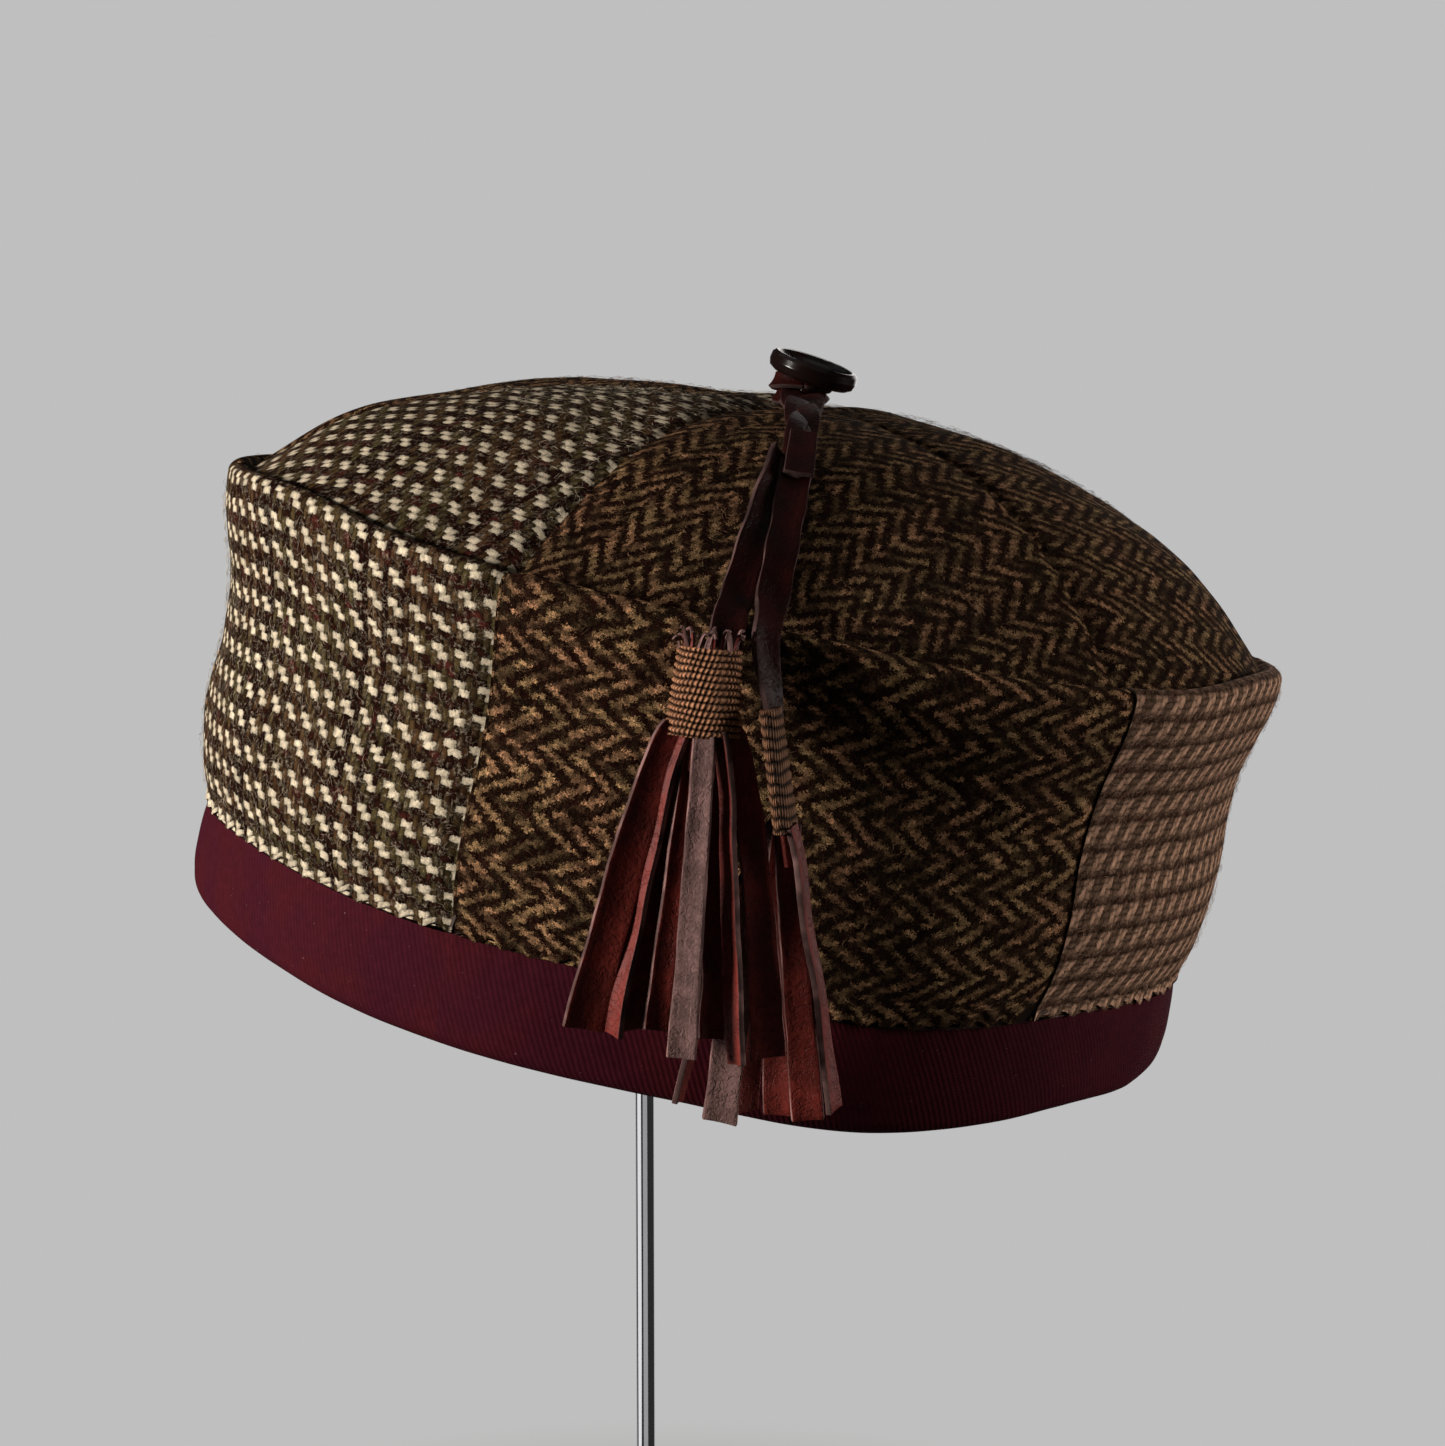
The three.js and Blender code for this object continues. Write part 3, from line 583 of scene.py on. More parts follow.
def check_tweed(name, light, ground, dark_warp=False):
    """Check of light floats that step down the cloth, with dark yarns in pairs between them."""
    colours = bpy.context.scene.cap_colours
    graph = Graph(name)
    across, up = loosened(graph, *graph.cloth_place(), 0.55, 1.5)
    if dark_warp:
        up = up + across * 0.36
    on_top, height, warp, weft, float_chance = twill(graph, across, up, (CHECK_PITCH,) * 2)
    streaks = fibres_in(graph, across, up, on_top)
    fuzz = graph.noise(graph.join(across, up, 6.0), 2.6, 2.0, 0.7)
    worn = graph.mix(float_chance * 0.6, light, shade(light, 0.6))
    fleck = graph.smooth(graph.noise(graph.join(across, up, 9.0), 0.2, 2.0), 0.55, 0.7)
    dark = graph.mix(fleck, colours.soil, colours.russet)
    tint = graph.noise(graph.join(across, up, 3.0), 0.05, 2.0)
    earth = graph.mix(graph.smooth(tint, 0.4, 0.6), ground, shade(ground, 1.05, 0.72, 0.8))
    if dark_warp:
        row_middle = ((across / CHECK_PITCH + fuzz * 2.0 + 2) % 4 - 1.3).absolute()
        dark_row = (1 - graph.smooth(row_middle, 0.2, 0.95)) * (0.7 + 0.3 * float_chance)
        stroke = graph.mix((weft % 4).below(2), shade(light, 0.3), worn)
        weft_colour = graph.mix(dark_row * 0.9, stroke, dark)
        between = graph.mix((weft % 4).below(2), ground, shade(light, 0.85))
        warp_colour = graph.mix(dark_row * 0.95, between, dark)
    else:
        weft_colour = graph.mix((weft % 4).below(2), dark, worn)
        warp_colour = graph.mix(graph.smooth(graph.chance(warp, 3.0), 0.1, 0.7), dark, earth)
    colour = graph.mix(on_top, warp_colour, weft_colour)
    hairs = stray_hairs(graph, across, up, 0.55, 0.035)
    colour = graph.mix(hairs * 0.4, colour, shade(light, 0.7))
    # Darker where the yarns lie low, as painted shade between the yarns, times the fibres' own
    # streaks and fuzz.
    depth = (0.12 + 0.98 * height) * (0.4 + 1.2 * streaks) * (0.5 + fuzz)
    colour = graph.dimmed(colour, depth)
    normal = graph.bump(height + streaks * 0.6 + fuzz * 0.5 + hairs * 0.3, 1.0, 0.5 * MM)
    return graph.finish(colour, 0.92, normal, 0.03)


def herringbone_tweed(name, light, pitch, reverse):
    """Herringbone: light weft floats over a dark warp, blurred by loose wool."""
    colours = bpy.context.scene.cap_colours
    graph = Graph(name)
    across, up = loosened(graph, *graph.cloth_place(), 1.05, 1.9)
    on_top, height, _, _, float_chance = twill(graph, across, up, pitch, reverse)
    streaks = fibres_in(graph, across, up, on_top)
    fuzz = graph.noise(graph.join(across, up, 6.0), 2.4, 2.0, 0.75)
    blotch = graph.noise(graph.join(across, up, 7.0), 0.3, 3.0, 0.65)
    bright = graph.smooth(float_chance * 0.7 + blotch * 0.9, 0.36, 1.15)
    tint = graph.smooth(graph.noise(graph.join(across, up, 1.0), 0.12, 2.0), 0.4, 0.62)
    olive = shade(light, 0.92, 0.98, 0.85)
    yarn = graph.mix(tint, olive, shade(light, 1.06, 0.95, 0.92))
    spark = graph.smooth(streaks * 0.6 + fuzz * 0.4, 0.42, 0.62)
    glint = graph.blend(bright, 0.08, 3.1) * (0.22 + 1.6 * spark)
    weft_colour = graph.dimmed(yarn, glint)
    fleck = graph.smooth(graph.noise(graph.join(across, up, 2.0), 0.3, 2.0), 0.5, 0.7)
    warp_colour = graph.mix(fleck, colours.soil, shade(colours.russet, 0.5))
    colour = graph.mix(on_top, warp_colour, weft_colour)
    hairs = stray_hairs(graph, across, up, 0.9, 0.045)
    colour = graph.mix(hairs * (blotch * 1.3 - 0.2).at_least(0), colour, shade(light, 1.5))
    # Darker where the yarns lie low, as painted shade between the yarns, times the fibres' own
    # streaks and fuzz.
    depth = (0.06 + 1.02 * height) * (0.45 + 1.1 * streaks) * (0.45 + 1.1 * fuzz)
    colour = graph.dimmed(colour, depth)
    normal = graph.bump(height + streaks * 0.7 + fuzz * 0.6 + hairs * 0.4, 1.0, 0.55 * MM)
    return graph.finish(colour, 0.94, normal, 0.03)


def wine_twill(name):
    """The band's fine steep twill, plum and maroon by turns, with a little lint."""
    colours = bpy.context.scene.cap_colours
    graph = Graph(name)
    across, up = loosened(graph, *graph.cloth_place(), 0.09)
    steep = math.radians(63)
    phase = across * math.sin(steep) + up * math.cos(steep)
    line = (phase * (2 * math.pi / 0.95)).sine() * 0.5 + 0.5
    yarn = ((up * 2.4 + across * 0.6) * (2 * math.pi)).sine() * 0.5 + 0.5
    blotch = graph.noise(graph.join(across, up), 0.05, 3.0, 0.6)
    mottle = graph.noise(graph.join(across, up, 5.0), 0.6, 3.0, 0.7)
    plum = shade(colours.wine, 0.84, 0.85, 1.2)
    cloth = graph.mix(graph.smooth(blotch, 0.4, 0.62), colours.wine, plum)
    # Darker in the grooves between the twill's lines and yarns, as painted shade, times the cloth's
    # own mottle.
    depth = (0.74 + 0.2 * line + 0.1 * yarn) * (0.6 + 0.8 * mottle)
    colour = graph.dimmed(cloth, depth)
    lint = graph.smooth(graph.noise(graph.join(across, up, 8.0), 1.6, 1.0), 0.77, 0.82)
    colour = graph.mix(lint * 0.35, colour, (0.3, 0.16, 0.17))
    normal = graph.bump(line * 0.6 + 0.35 * yarn + 0.4 * mottle, 0.5, 0.16 * MM)
    return graph.finish(colour, 0.85, normal, 0.03)


def lining_cloth(name):
    """Smooth dark lining with a fine weave."""
    colours = bpy.context.scene.cap_colours
    graph = Graph(name)
    across, up = graph.cloth_place()
    weave = (across * 8).sine() * (up * 8).sine() * 0.5 + 0.5
    mottle = graph.noise(graph.join(across, up), 0.08, 3.0, 0.6)
    colour = graph.mix(mottle, shade(colours.lining, 0.6), shade(colours.lining, 1.5))
    normal = graph.bump(weave + mottle * 3, 0.3, 0.1 * MM)
    return graph.finish(colour, 0.75, normal, 0.1)


# Leather, thread, button and stand finishes
def leather_finish(name, colour, grain_scale, gloss, mottle_share, shine=0.14):
    """Leather with pores, blotches, scratches and wear."""
    graph = Graph(name)
    place = graph.object_place()
    across, up = graph.cloth_place()
    blotch = graph.noise(place, 130.0, 4.0, 0.6)
    pores = graph.node(
        "ShaderNodeTexVoronoi", {"feature": "F1"}, {"Vector": place, "Scale": grain_scale},
    )
    grain = graph.noise(place, grain_scale * 1.6, 3.0, 0.7)
    scratch = graph.noise(graph.join(across * 2.2, up * 0.12, 3.0), 1.0, 3.0, 0.7)
    worn = graph.smooth(scratch, 0.54, 0.76)
    crack = 1 - graph.smooth((graph.noise(place, 330.0, 3.0, 0.6) - 0.5).absolute(), 0.0, 0.035)
    pale = [c * 1.9 + 0.2 * colour[0] for c in colour]
    blotched = graph.smooth(blotch, 0.3, 0.7)
    base = graph.mix(blotched, shade(colour, 0.45), shade(colour, 1.15))
    base = graph.mix(worn * mottle_share, base, pale)
    base = graph.mix(graph.smooth(grain, 0.55, 0.8) * mottle_share, base, pale)
    base = graph.mix(crack * 0.45, base, shade(colour, 0.3))
    normal = graph.bump(pores * 0.6 + grain - crack * 0.5, 0.6, 0.18 * MM)
    rough = gloss + 0.25 * blotch
    return graph.finish(base, rough, normal, shine)


def cut_edge(name, raw):
    """The raw edge of cut leather, paler in places."""
    graph = Graph(name)
    place = graph.object_place()
    fuzz = graph.noise(place, 900.0, 3.0, 0.7)
    patch = graph.noise(place, 150.0, 2.0, 0.6)
    colour = graph.mix(graph.smooth(patch, 0.42, 0.66), shade(raw, 0.35), shade(raw, 1.25))
    colour = graph.mix(fuzz * 0.5, colour, shade(raw, 0.3))
    return graph.finish(colour, 0.9, graph.bump(fuzz, 0.6, 0.15 * MM), 0.08)


def wrap_thread(name, share):
    """Waxed thread laid in turns, one a unit up, each bound by fine cross threads, with painted
    shade in the grooves between them.
    """
    thread = shade(bpy.context.scene.cap_colours.thread, share)
    graph = Graph(name)
    across, up = graph.cloth_place()
    stray = (graph.noise(graph.join(across, up), 0.8, 2.0) - 0.5) * 0.5
    cross = ((across + stray) * (2 * math.pi / 0.98)).sine() * 0.5 + 0.5
    rib = (up * math.pi).sine().absolute()
    mottle = graph.noise(graph.join(across, up, 2.0), 0.5, 3.0, 0.6)
    # Painted shade: the thread goes near black in the grooves between turns and between the cross
    # threads, and stays lit on their tops.
    painted_lit_share = graph.smooth(rib, 0.12, 0.85) * (0.25 + 0.75 * cross ** 0.6)
    light = graph.mix(graph.smooth(mottle, 0.35, 0.7), shade(thread, 0.7), shade(thread, 1.3))
    colour = graph.mix(painted_lit_share, shade(thread, 0.07), light)
    normal = graph.bump(cross + rib, 0.8, 0.25 * MM)
    return graph.finish(colour, 0.7, normal, 0.12)


def button_gloss(name):
    """Glossy near-black brown with faint swirls and fine scratches."""
    colours = bpy.context.scene.cap_colours
    graph = Graph(name)
    place = graph.object_place()
    swirl = graph.noise(place, 90.0, 4.0, 0.55, 1.2)
    scratch = graph.noise(place, 1400.0, 2.0, 0.6)
    brown = shade(colours.horn, 2.6)
    colour = graph.mix(graph.smooth(swirl, 0.5, 0.75), colours.horn, brown)
    rough = 0.15 + 0.12 * scratch
    normal = graph.bump(scratch, 0.12, 0.05 * MM)
    return graph.finish(colour, rough, normal, 0.12)


def bright_chrome(name):
    """Polished plated steel with faint drawn lines and handling marks."""
    graph = Graph(name)
    place = graph.object_place()
    smear = graph.noise(place, 60.0, 4.0, 0.6)
    drawn = graph.noise(place, 2200.0, 1.0)
    colour = graph.mix(smear, (0.62, 0.62, 0.64), (0.8, 0.8, 0.82))
    rough = 0.05 + 0.08 * smear
    return graph.finish(colour, rough, graph.bump(drawn, 0.05, 0.02 * MM), metallic=1.0)


def black_paint(name):
    """Matt black paint with a fine orange-peel surface."""
    graph = Graph(name)
    place = graph.object_place()
    peel = graph.noise(place, 700.0, 2.0)
    dust = graph.noise(place, 90.0, 4.0, 0.7)
    colour = graph.mix(graph.smooth(dust, 0.5, 0.8), (0.014, 0.014, 0.015), (0.04, 0.038, 0.036))
    return graph.finish(colour, 0.5 + 0.2 * dust, graph.bump(peel, 0.3, 0.08 * MM))


def make_finishes():
    """Makes every material of the part once, by name."""
    colours = bpy.context.scene.cap_colours
    cream, rose, tan = colours.cream, colours.rose, colours.tan
    check_tweed("check_cream", cream, colours.olive)
    # The cream wedges of the crown take a darker copy of the cream check: painted shade on the
    # upward-facing crown.
    check_tweed("check_cream_tip_painted_shade", shade(cream, 0.92), shade(colours.olive, 0.95))
    check_tweed("check_rose", rose, shade(rose, 0.3), True)
    herringbone_tweed("herringbone_side", tan, (1.4, 0.88), 6)
    # The herringbone wedges of the crown take the tan at 0.73 with a finer pitch: the darkening is
    # painted shade on the upward-facing crown.
    herringbone_tweed("herringbone_tip_painted_shade", shade(tan, 0.73), (1.25, 0.85), 6)
    wool_finish("wool_cream", shade(cream, 0.8), shade(cream, 0.2))
    wool_finish("wool_rose", shade(rose, 0.9), shade(rose, 0.25))
    wool_finish("wool_dark", shade(tan, 1.3), shade(tan, 0.2))
    wine_twill("band_twill")
    lining_cloth("lining")
    leather_finish("leather_grain", colours.leather, 900.0, 0.42, 0.4)
    leather_finish("leather_dark", shade(colours.leather, 0.16), 900.0, 0.38, 0.2, 0.06)
    leather_finish("leather_suede", colours.suede, 1300.0, 0.7, 0.5)
    cut_edge("leather_edge", colours.suede)
    cut_edge("leather_rim", shade(colours.suede, 0.36))
    wrap_thread("wound_thread", 1.0)
    # The right wrap's thread is a darker copy of the same thread: painted shade for the wrap that
    # hangs in shadow.
    wrap_thread("wound_thread_painted_shade", 0.42)
    button_gloss("glossy_horn")
    bright_chrome("polished_chrome")
    black_paint("matt_black")


def finish_named(name):
    """A material of the part; all are made when the first is asked for."""
    if name not in bpy.data.materials:
        make_finishes()
    return bpy.data.materials[name]


# The cap's surfaces
def seam_turns():
    """Turns of the panels' seams round the cap, with the first again at the end."""
    others = (2 * math.pi - FRONT_SPAN) / (len(PANELS) - 1)
    rest = FIRST_SEAM + FRONT_SPAN + others * np.arange(len(PANELS))
    return np.concatenate([[FIRST_SEAM], rest])


def corner_share(turn):
    """1 on a seam and -1 in the middle of a panel."""
    seams = seam_turns()
    around = FIRST_SEAM + (turn - FIRST_SEAM) % (2 * math.pi)
    panel = np.clip(np.searchsorted(seams, around, side="right") - 1, 0, len(PANELS) - 1)
    share = (around - seams[panel]) / (seams[panel + 1] - seams[panel])
    return np.cos(2 * math.pi * share)


def oval(turn, out, corner):
    """The plan of the cap at a turn from the front, moved out, with soft corners."""
    shape = bpy.context.scene.cap_shape
    push = corner * corner_share(turn)
    x = (shape.rim_half_length + out + push) * np.sin(turn)
    y = -(shape.rim_half_width + out + push) * np.cos(turn)
    return x, y


def bumps(rows, turn):
    """Sum of soft bumps given by turn, spread and share."""
    total = 0
    for place, spread, share in rows:
        around = (np.degrees(turn) - place + 540) % 360 - 180
        total = total + share * np.exp(-((around / spread) ** 2))
    return total


def seam_height(x, y):
    """Height of the seam between band and tweed over a place on the plan."""
    return bpy.context.scene.cap_shape.band_height - BAND_FALL[0] * x - BAND_FALL[1] * y


def ridge_height(x, y):
    """Height of the ridge's crest over a place on the plan."""
    shape = bpy.context.scene.cap_shape
    crest = shape.band_height + shape.panel_height
    return crest - RIDGE_FALL[0] * x - RIDGE_FALL[1] * y


def placed(x, y, z):
    """Points of the cap's own frame, moved to where the cap rests on its stand."""
    points = np.stack(np.broadcast_arrays(x, y, z), -1)
    return points @ CAP_TURNED.T + np.array(CAP_MATRIX.translation)


def band_place(turn, level, out):
    """A point of the band, by turn, share of its height and distance out."""
    x, y = oval(turn, out, RIM_CORNER)
    z = level * seam_height(x, y) - SAG_DEPTH * bumps(BAND_SAGS, turn)
    return placed(x, y, z)


def side_place(turn, level, out):
    """A point of a side panel, by turn, share of its height and distance out."""
    x, y = oval(turn, out, RIM_CORNER + (RIDGE_CORNER - RIM_CORNER) * level)
    x = x + RIDGE_SHIFT * level
    foot = seam_height(x, y) - SAG_DEPTH * bumps(BAND_SAGS, turn)
    crest = ridge_height(x, y) + RIDGE_LIFT * bumps(RIDGE_LIFTS, turn)
    return placed(x, y, foot + (crest - foot) * level)


def crown_place(turn, reach, drop=0.0):
    """A point of the crown, by turn, share of the way out from the button, and depth."""
    shape = bpy.context.scene.cap_shape
    x, y = oval(turn, shape.ridge_overhang - 2 * shape.ridge_roll - SEAM_GAP, RIDGE_CORNER)
    x = APEX_SHIFT + (x + RIDGE_SHIFT - APEX_SHIFT) * reach
    y = y * reach
    middle = 4 * reach * (1 - reach)
    puff = GORE_PUFF * (1 - corner_share(turn)) / 2 * middle
    rise = shape.dome_rise * (1 - reach ** DOME_POWER) + puff
    lean = DOME_LEAN * middle * np.sin(turn)
    lift = RIDGE_LIFT * bumps(RIDGE_LIFTS, turn) * reach ** 4
    z = ridge_height(x, y) - shape.gutter_depth + rise + lean + lift - drop
    return placed(x, y, z)


def crown_depth(reach):
    """How far the crown's inside lies below its outside, for an even wall."""
    shape = bpy.context.scene.cap_shape
    slope = shape.dome_rise * DOME_POWER * reach ** (DOME_POWER - 1) / shape.rim_half_length
    return shape.tweed_wall * np.hypot(1, slope)


def smooth_curve(places, values, at):
    """A smooth curve through values, one a row, given at places between theirs."""
    slopes = np.gradient(values, places, axis=0)
    k = np.clip(np.searchsorted(places, at, side="right") - 1, 0, len(places) - 2)
    rows = (slice(None),) + (None,) * (values.ndim - 1)
    span = (places[k + 1] - places[k])[rows]
    t = (at - places[k])[rows] / span
    near = (1 + 2 * t) * (1 - t) ** 2 * values[k] + t * (1 - t) ** 2 * span * slopes[k]
    far = t * t * (3 - 2 * t) * values[k + 1] + t * t * (t - 1) * span * slopes[k + 1]
    return near + far


def smooth_table(rows, level):
    """A column of a table at levels between its rows, on a smooth curve."""
    places, values = np.array(rows, float).T
    return smooth_curve(places, values, level)


def added_up(steps):
    """Lengths from the start to the end of each step, with a nought first."""
    return np.concatenate([[0], np.cumsum(steps)])


def gaps_between(points):
    """Distances from each point to the next."""
    return np.linalg.norm(np.diff(points, axis=0), axis=1)


def soft_noise(points, size, seed):
    """Smooth unevenness of about -1 to 1 over points, with features of a size."""
    random = np.random.default_rng(seed)
    total = 0
    for _ in range(NOISE_WAVES):
        direction = random.normal(size=3)
        direction /= np.linalg.norm(direction)
        wave = 2 * math.pi / (size * random.uniform(0.7, 1.8))
        total = total + np.sin(points @ direction * wave + random.uniform(0, 2 * math.pi))
    return total / (NOISE_WAVES / 2)


# Modelling helpers
def deselect_all():
    """Deselects every object."""
    bpy.ops.object.select_all(action="DESELECT")


def make_active(piece):
    """Selects one piece alone."""
    deselect_all()
    piece.select_set(True)
    bpy.context.view_layer.objects.active = piece


def shaped_grid(name, columns, rows, shape):
    """Adds a grid of faces and moves its points to where shape puts each column and row.

    shape takes the column and row of every point and gives places and cloth places in mm.
    """
    deselect_all()
    bpy.ops.mesh.primitive_grid_add(x_subdivisions=columns, y_subdivisions=rows, size=1)
    piece = bpy.context.object
    piece.name = piece.data.name = name
    flat = np.empty(3 * len(piece.data.vertices), np.float32)
    piece.data.vertices.foreach_get("co", flat)
    shares = flat.reshape(-1, 3)[:, :2] + 0.5
    column = np.rint(shares[:, 0] * columns).astype(int)
    row = np.rint(shares[:, 1] * rows).astype(int)
    places, cloth = shape(column, row)
    piece.data.vertices.foreach_set("co", places.astype(np.float32).ravel())
    corner_points = np.empty(len(piece.data.loops), np.int32)
    piece.data.loops.foreach_get("vertex_index", corner_points)
    uv = piece.data.uv_layers.active or piece.data.uv_layers.new()
    uv.name = "cloth"
    uv.data.foreach_set("uv", cloth[corner_points].astype(np.float32).ravel())
    piece.data.update()
    return piece


def face_points(piece):
    """The indices of each four-cornered face's points, one row a face."""
    points = np.empty(len(piece.data.loops), np.int32)
    piece.data.loops.foreach_get("vertex_index", points)
    return points.reshape(-1, 4)


def give_finishes(piece, names):
    """Gives a piece its materials in order."""
    piece.data.materials.clear()
    for name in names:
        piece.data.materials.append(finish_named(name))


def close_up(piece, angle=50):
    """Merges doubled points, fills open ends, turns faces out and smooths the piece."""
    make_active(piece)
    bpy.ops.object.mode_set(mode="EDIT")
    bpy.ops.mesh.select_all(action="SELECT")
    bpy.ops.mesh.remove_doubles(threshold=0.002 * MM)
    bpy.ops.mesh.fill_holes(sides=0)
    bpy.ops.mesh.normals_make_consistent(inside=False)
    bpy.ops.object.mode_set(mode="OBJECT")
    bpy.ops.object.shade_smooth_by_angle(angle=math.radians(angle))
    for face in piece.data.polygons:
        if len(face.vertices) > 4:
            face.material_index = len(piece.data.materials) - 1
    return piece


def pick_faces(piece, wanted):
    """Opens a piece for editing with the wanted faces selected."""
    for face in piece.data.polygons:
        face.select = wanted(face)
    for edge in piece.data.edges:
        edge.select = False
    for vertex in piece.data.vertices:
        vertex.select = False
    bpy.ops.object.mode_set(mode="EDIT")
    bpy.ops.mesh.select_mode(type="FACE")


def soften_edges(piece, width, segments, angle):
    """Adds a bevel along the edges that are sharper than an angle in degrees."""
    soften = piece.modifiers.new("soften", "BEVEL")
    soften.width = width
    soften.segments = segments
    soften.limit_method = "ANGLE"
    soften.angle_limit = math.radians(angle)


def apply_all(piece):
    """Applies a piece's modifiers in order."""
    make_active(piece)
    for modifier in list(piece.modifiers):
        bpy.ops.object.modifier_apply(modifier=modifier.name)


def joined(pieces, name):
    """Joins pieces into the first of them."""
    deselect_all()
    for piece in pieces:
        piece.select_set(True)
    bpy.context.view_layer.objects.active = pieces[0]
    if len(pieces) > 1:
        bpy.ops.object.join()
    pieces[0].name = pieces[0].data.name = name
    return pieces[0]


def settle(piece, slot, *nodes):
    """Rides the piece on the part in place of its CAD nodes. Its slot is not used."""
    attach(piece, BODY)
    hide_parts(*nodes)
    return piece


def turned_cloth(cloth, degrees):
    """Cloth places turned, so that the weave lies at an angle."""
    angle = math.radians(degrees)
    turn = np.array([[math.cos(angle), math.sin(angle)], [-math.sin(angle), math.cos(angle)]])
    return cloth @ turn.T


# Band
BAND_COLUMNS = 540


def band_outline():
    """The band's closed section: level, out, length along the cloth, and 1 on its outside."""
    shape = bpy.context.scene.cap_shape
    rise = np.concatenate([[0, 0.012, 0.03], np.linspace(HEM_SHARE, 1, 44)])
    outer = smooth_table(BAND_ROWS, rise) * BAND_SWELL
    hem = np.clip(1 - rise / HEM_SHARE, 0, 1)
    outer = outer - HEM_TUCK * hem ** 2
    fall = np.linspace(1, 0.05, 24)
    inner = smooth_table(BAND_ROWS, fall) * BAND_SWELL - shape.band_wall
    level = np.concatenate([rise, fall, [0.0, 0.0]])
    out = np.concatenate([outer, inner, [outer[0] - 0.8 * MM, outer[0]]])
    outside = np.concatenate([np.ones(len(rise)), np.zeros(len(fall)), [0.0, 1.0]])
    steps = np.hypot(np.diff(level) * shape.band_height, np.diff(out))
    length = added_up(steps)
    return level, out, length, outside


class CAP_OT_band(bpy.types.Operator):
    """Models the folded wine twill band"""

    bl_idname = "smoking_cap.band"
    bl_label = "Band"

    def execute(self, context):
        shape = context.scene.cap_shape
        level, out, length, outside = band_outline()
        turns = FIRST_SEAM + np.linspace(0, 2 * math.pi, BAND_COLUMNS + 1)
        girth = 2 * math.pi * (shape.rim_half_length + shape.rim_half_width) / 2

        def place(column, row):
            turn = turns[column]
            rough = band_place(turn, level[row], out[row])
            uneven = soft_noise(rough, 24 * MM, 3) * 0.45 + soft_noise(rough, 9 * MM, 4) * 0.12
            near_seam = np.exp(-(((1 - level[row]) * shape.band_height) / (3 * MM)) ** 2)
            pucker = np.sin(turn * girth / CHECK_REPEAT) * 0.18 * near_seam
            moved = out[row] + (uneven * (1 - near_seam) + pucker) * outside[row] * shape.crumple
            cloth = np.stack([turn * girth / (2 * math.pi), length[row]], -1) / MM
            return band_place(turn, level[row], moved), cloth

        piece = shaped_grid("cap_band", BAND_COLUMNS, len(level) - 1, place)
        give_finishes(piece, ["band_twill"])
        close_up(piece)
        settle(piece, "wine_twill", "band")
        return {"FINISHED"}


# Side panels
SIDE_COLUMNS = 132
LIP_OUT = 0.9 * MM
LIP_DROP = 0.8 * MM


def side_outline():
    """A side panel's closed section: level, out, length along the cloth, and 1 on its outside."""
    shape = bpy.context.scene.cap_shape
    roll = shape.ridge_roll / shape.panel_height
    foot = SEAM_GAP / shape.panel_height
    rise = np.linspace(foot, 1 - roll, 88)
    wall = smooth_table(SIDE_ROWS, rise) * shape.ridge_overhang
    height = rise * shape.panel_height
    lip = np.exp(-(height / (1.6 * MM)) ** 2)
    wall = wall + LIP_OUT * lip
    rise = rise - LIP_DROP / shape.panel_height * lip
    angle = np.linspace(0, math.pi, 22)[1:]
    arc = 1 - roll + roll * np.sin(angle)
    arc_out = shape.ridge_overhang - shape.ridge_roll * (1 - np.cos(angle))
    gutter = 1 - (shape.gutter_depth + 1.6 * shape.tweed_wall) / shape.panel_height
    well = np.linspace(1 - roll, gutter, 6)[1:]
    well_out = np.full(len(well), shape.ridge_overhang - 2 * shape.ridge_roll)
    fall = np.linspace(0.8, foot, 30)
    inner = smooth_table(SIDE_ROWS, fall) * shape.ridge_overhang - shape.tweed_wall
    under = [[foot, wall[0] - 0.55 * MM], [rise[0], wall[0] - 0.5 * MM], [rise[0], wall[0]]]
    level = np.concatenate([rise, arc, well, fall, [u[0] for u in under]])
    out = np.concatenate([wall, arc_out, well_out, inner, [u[1] for u in under]])
    outside = np.concatenate([
        np.ones(len(rise) + len(arc)), np.zeros(len(well) + len(fall)), [0.0, 1.0, 1.0],
    ])
    steps = np.hypot(np.diff(level) * shape.panel_height, np.diff(out))
    length = added_up(steps)
    return level, out, length, outside


def seam_dip(distance):
    """The crease where two cloths are sewn: 1 on the seam, soft to its sides."""
    return np.exp(-((distance / SEAM_WIDTH) ** 2))


def seam_calm(distance):
    """How free the cloth is of its seam: 0 on the seam and 1 well away from it."""
    return 1 - np.exp(-((distance / SEAM_HOLD) ** 2))


def crumpled(points, broad, fine):
    """The unevenness of sewn cloth, from a seed for its broad and one for its fine waves."""
    return soft_noise(points, 30 * MM, broad) + 0.3 * soft_noise(points, 8 * MM, fine)


def cloth_columns(panel, columns):
    """Turns of a panel's columns, closer at its seams, kept clear of the next panel."""
    shape = bpy.context.scene.cap_shape
    start, end = seam_turns()[panel:panel + 2]
    share = np.linspace(0, 1, columns + 1)
    crowded = share - 0.11 * np.sin(2 * math.pi * share)
    gap = 0.05 * MM / shape.rim_half_width
    return start + gap + (end - start - 2 * gap) * crowded


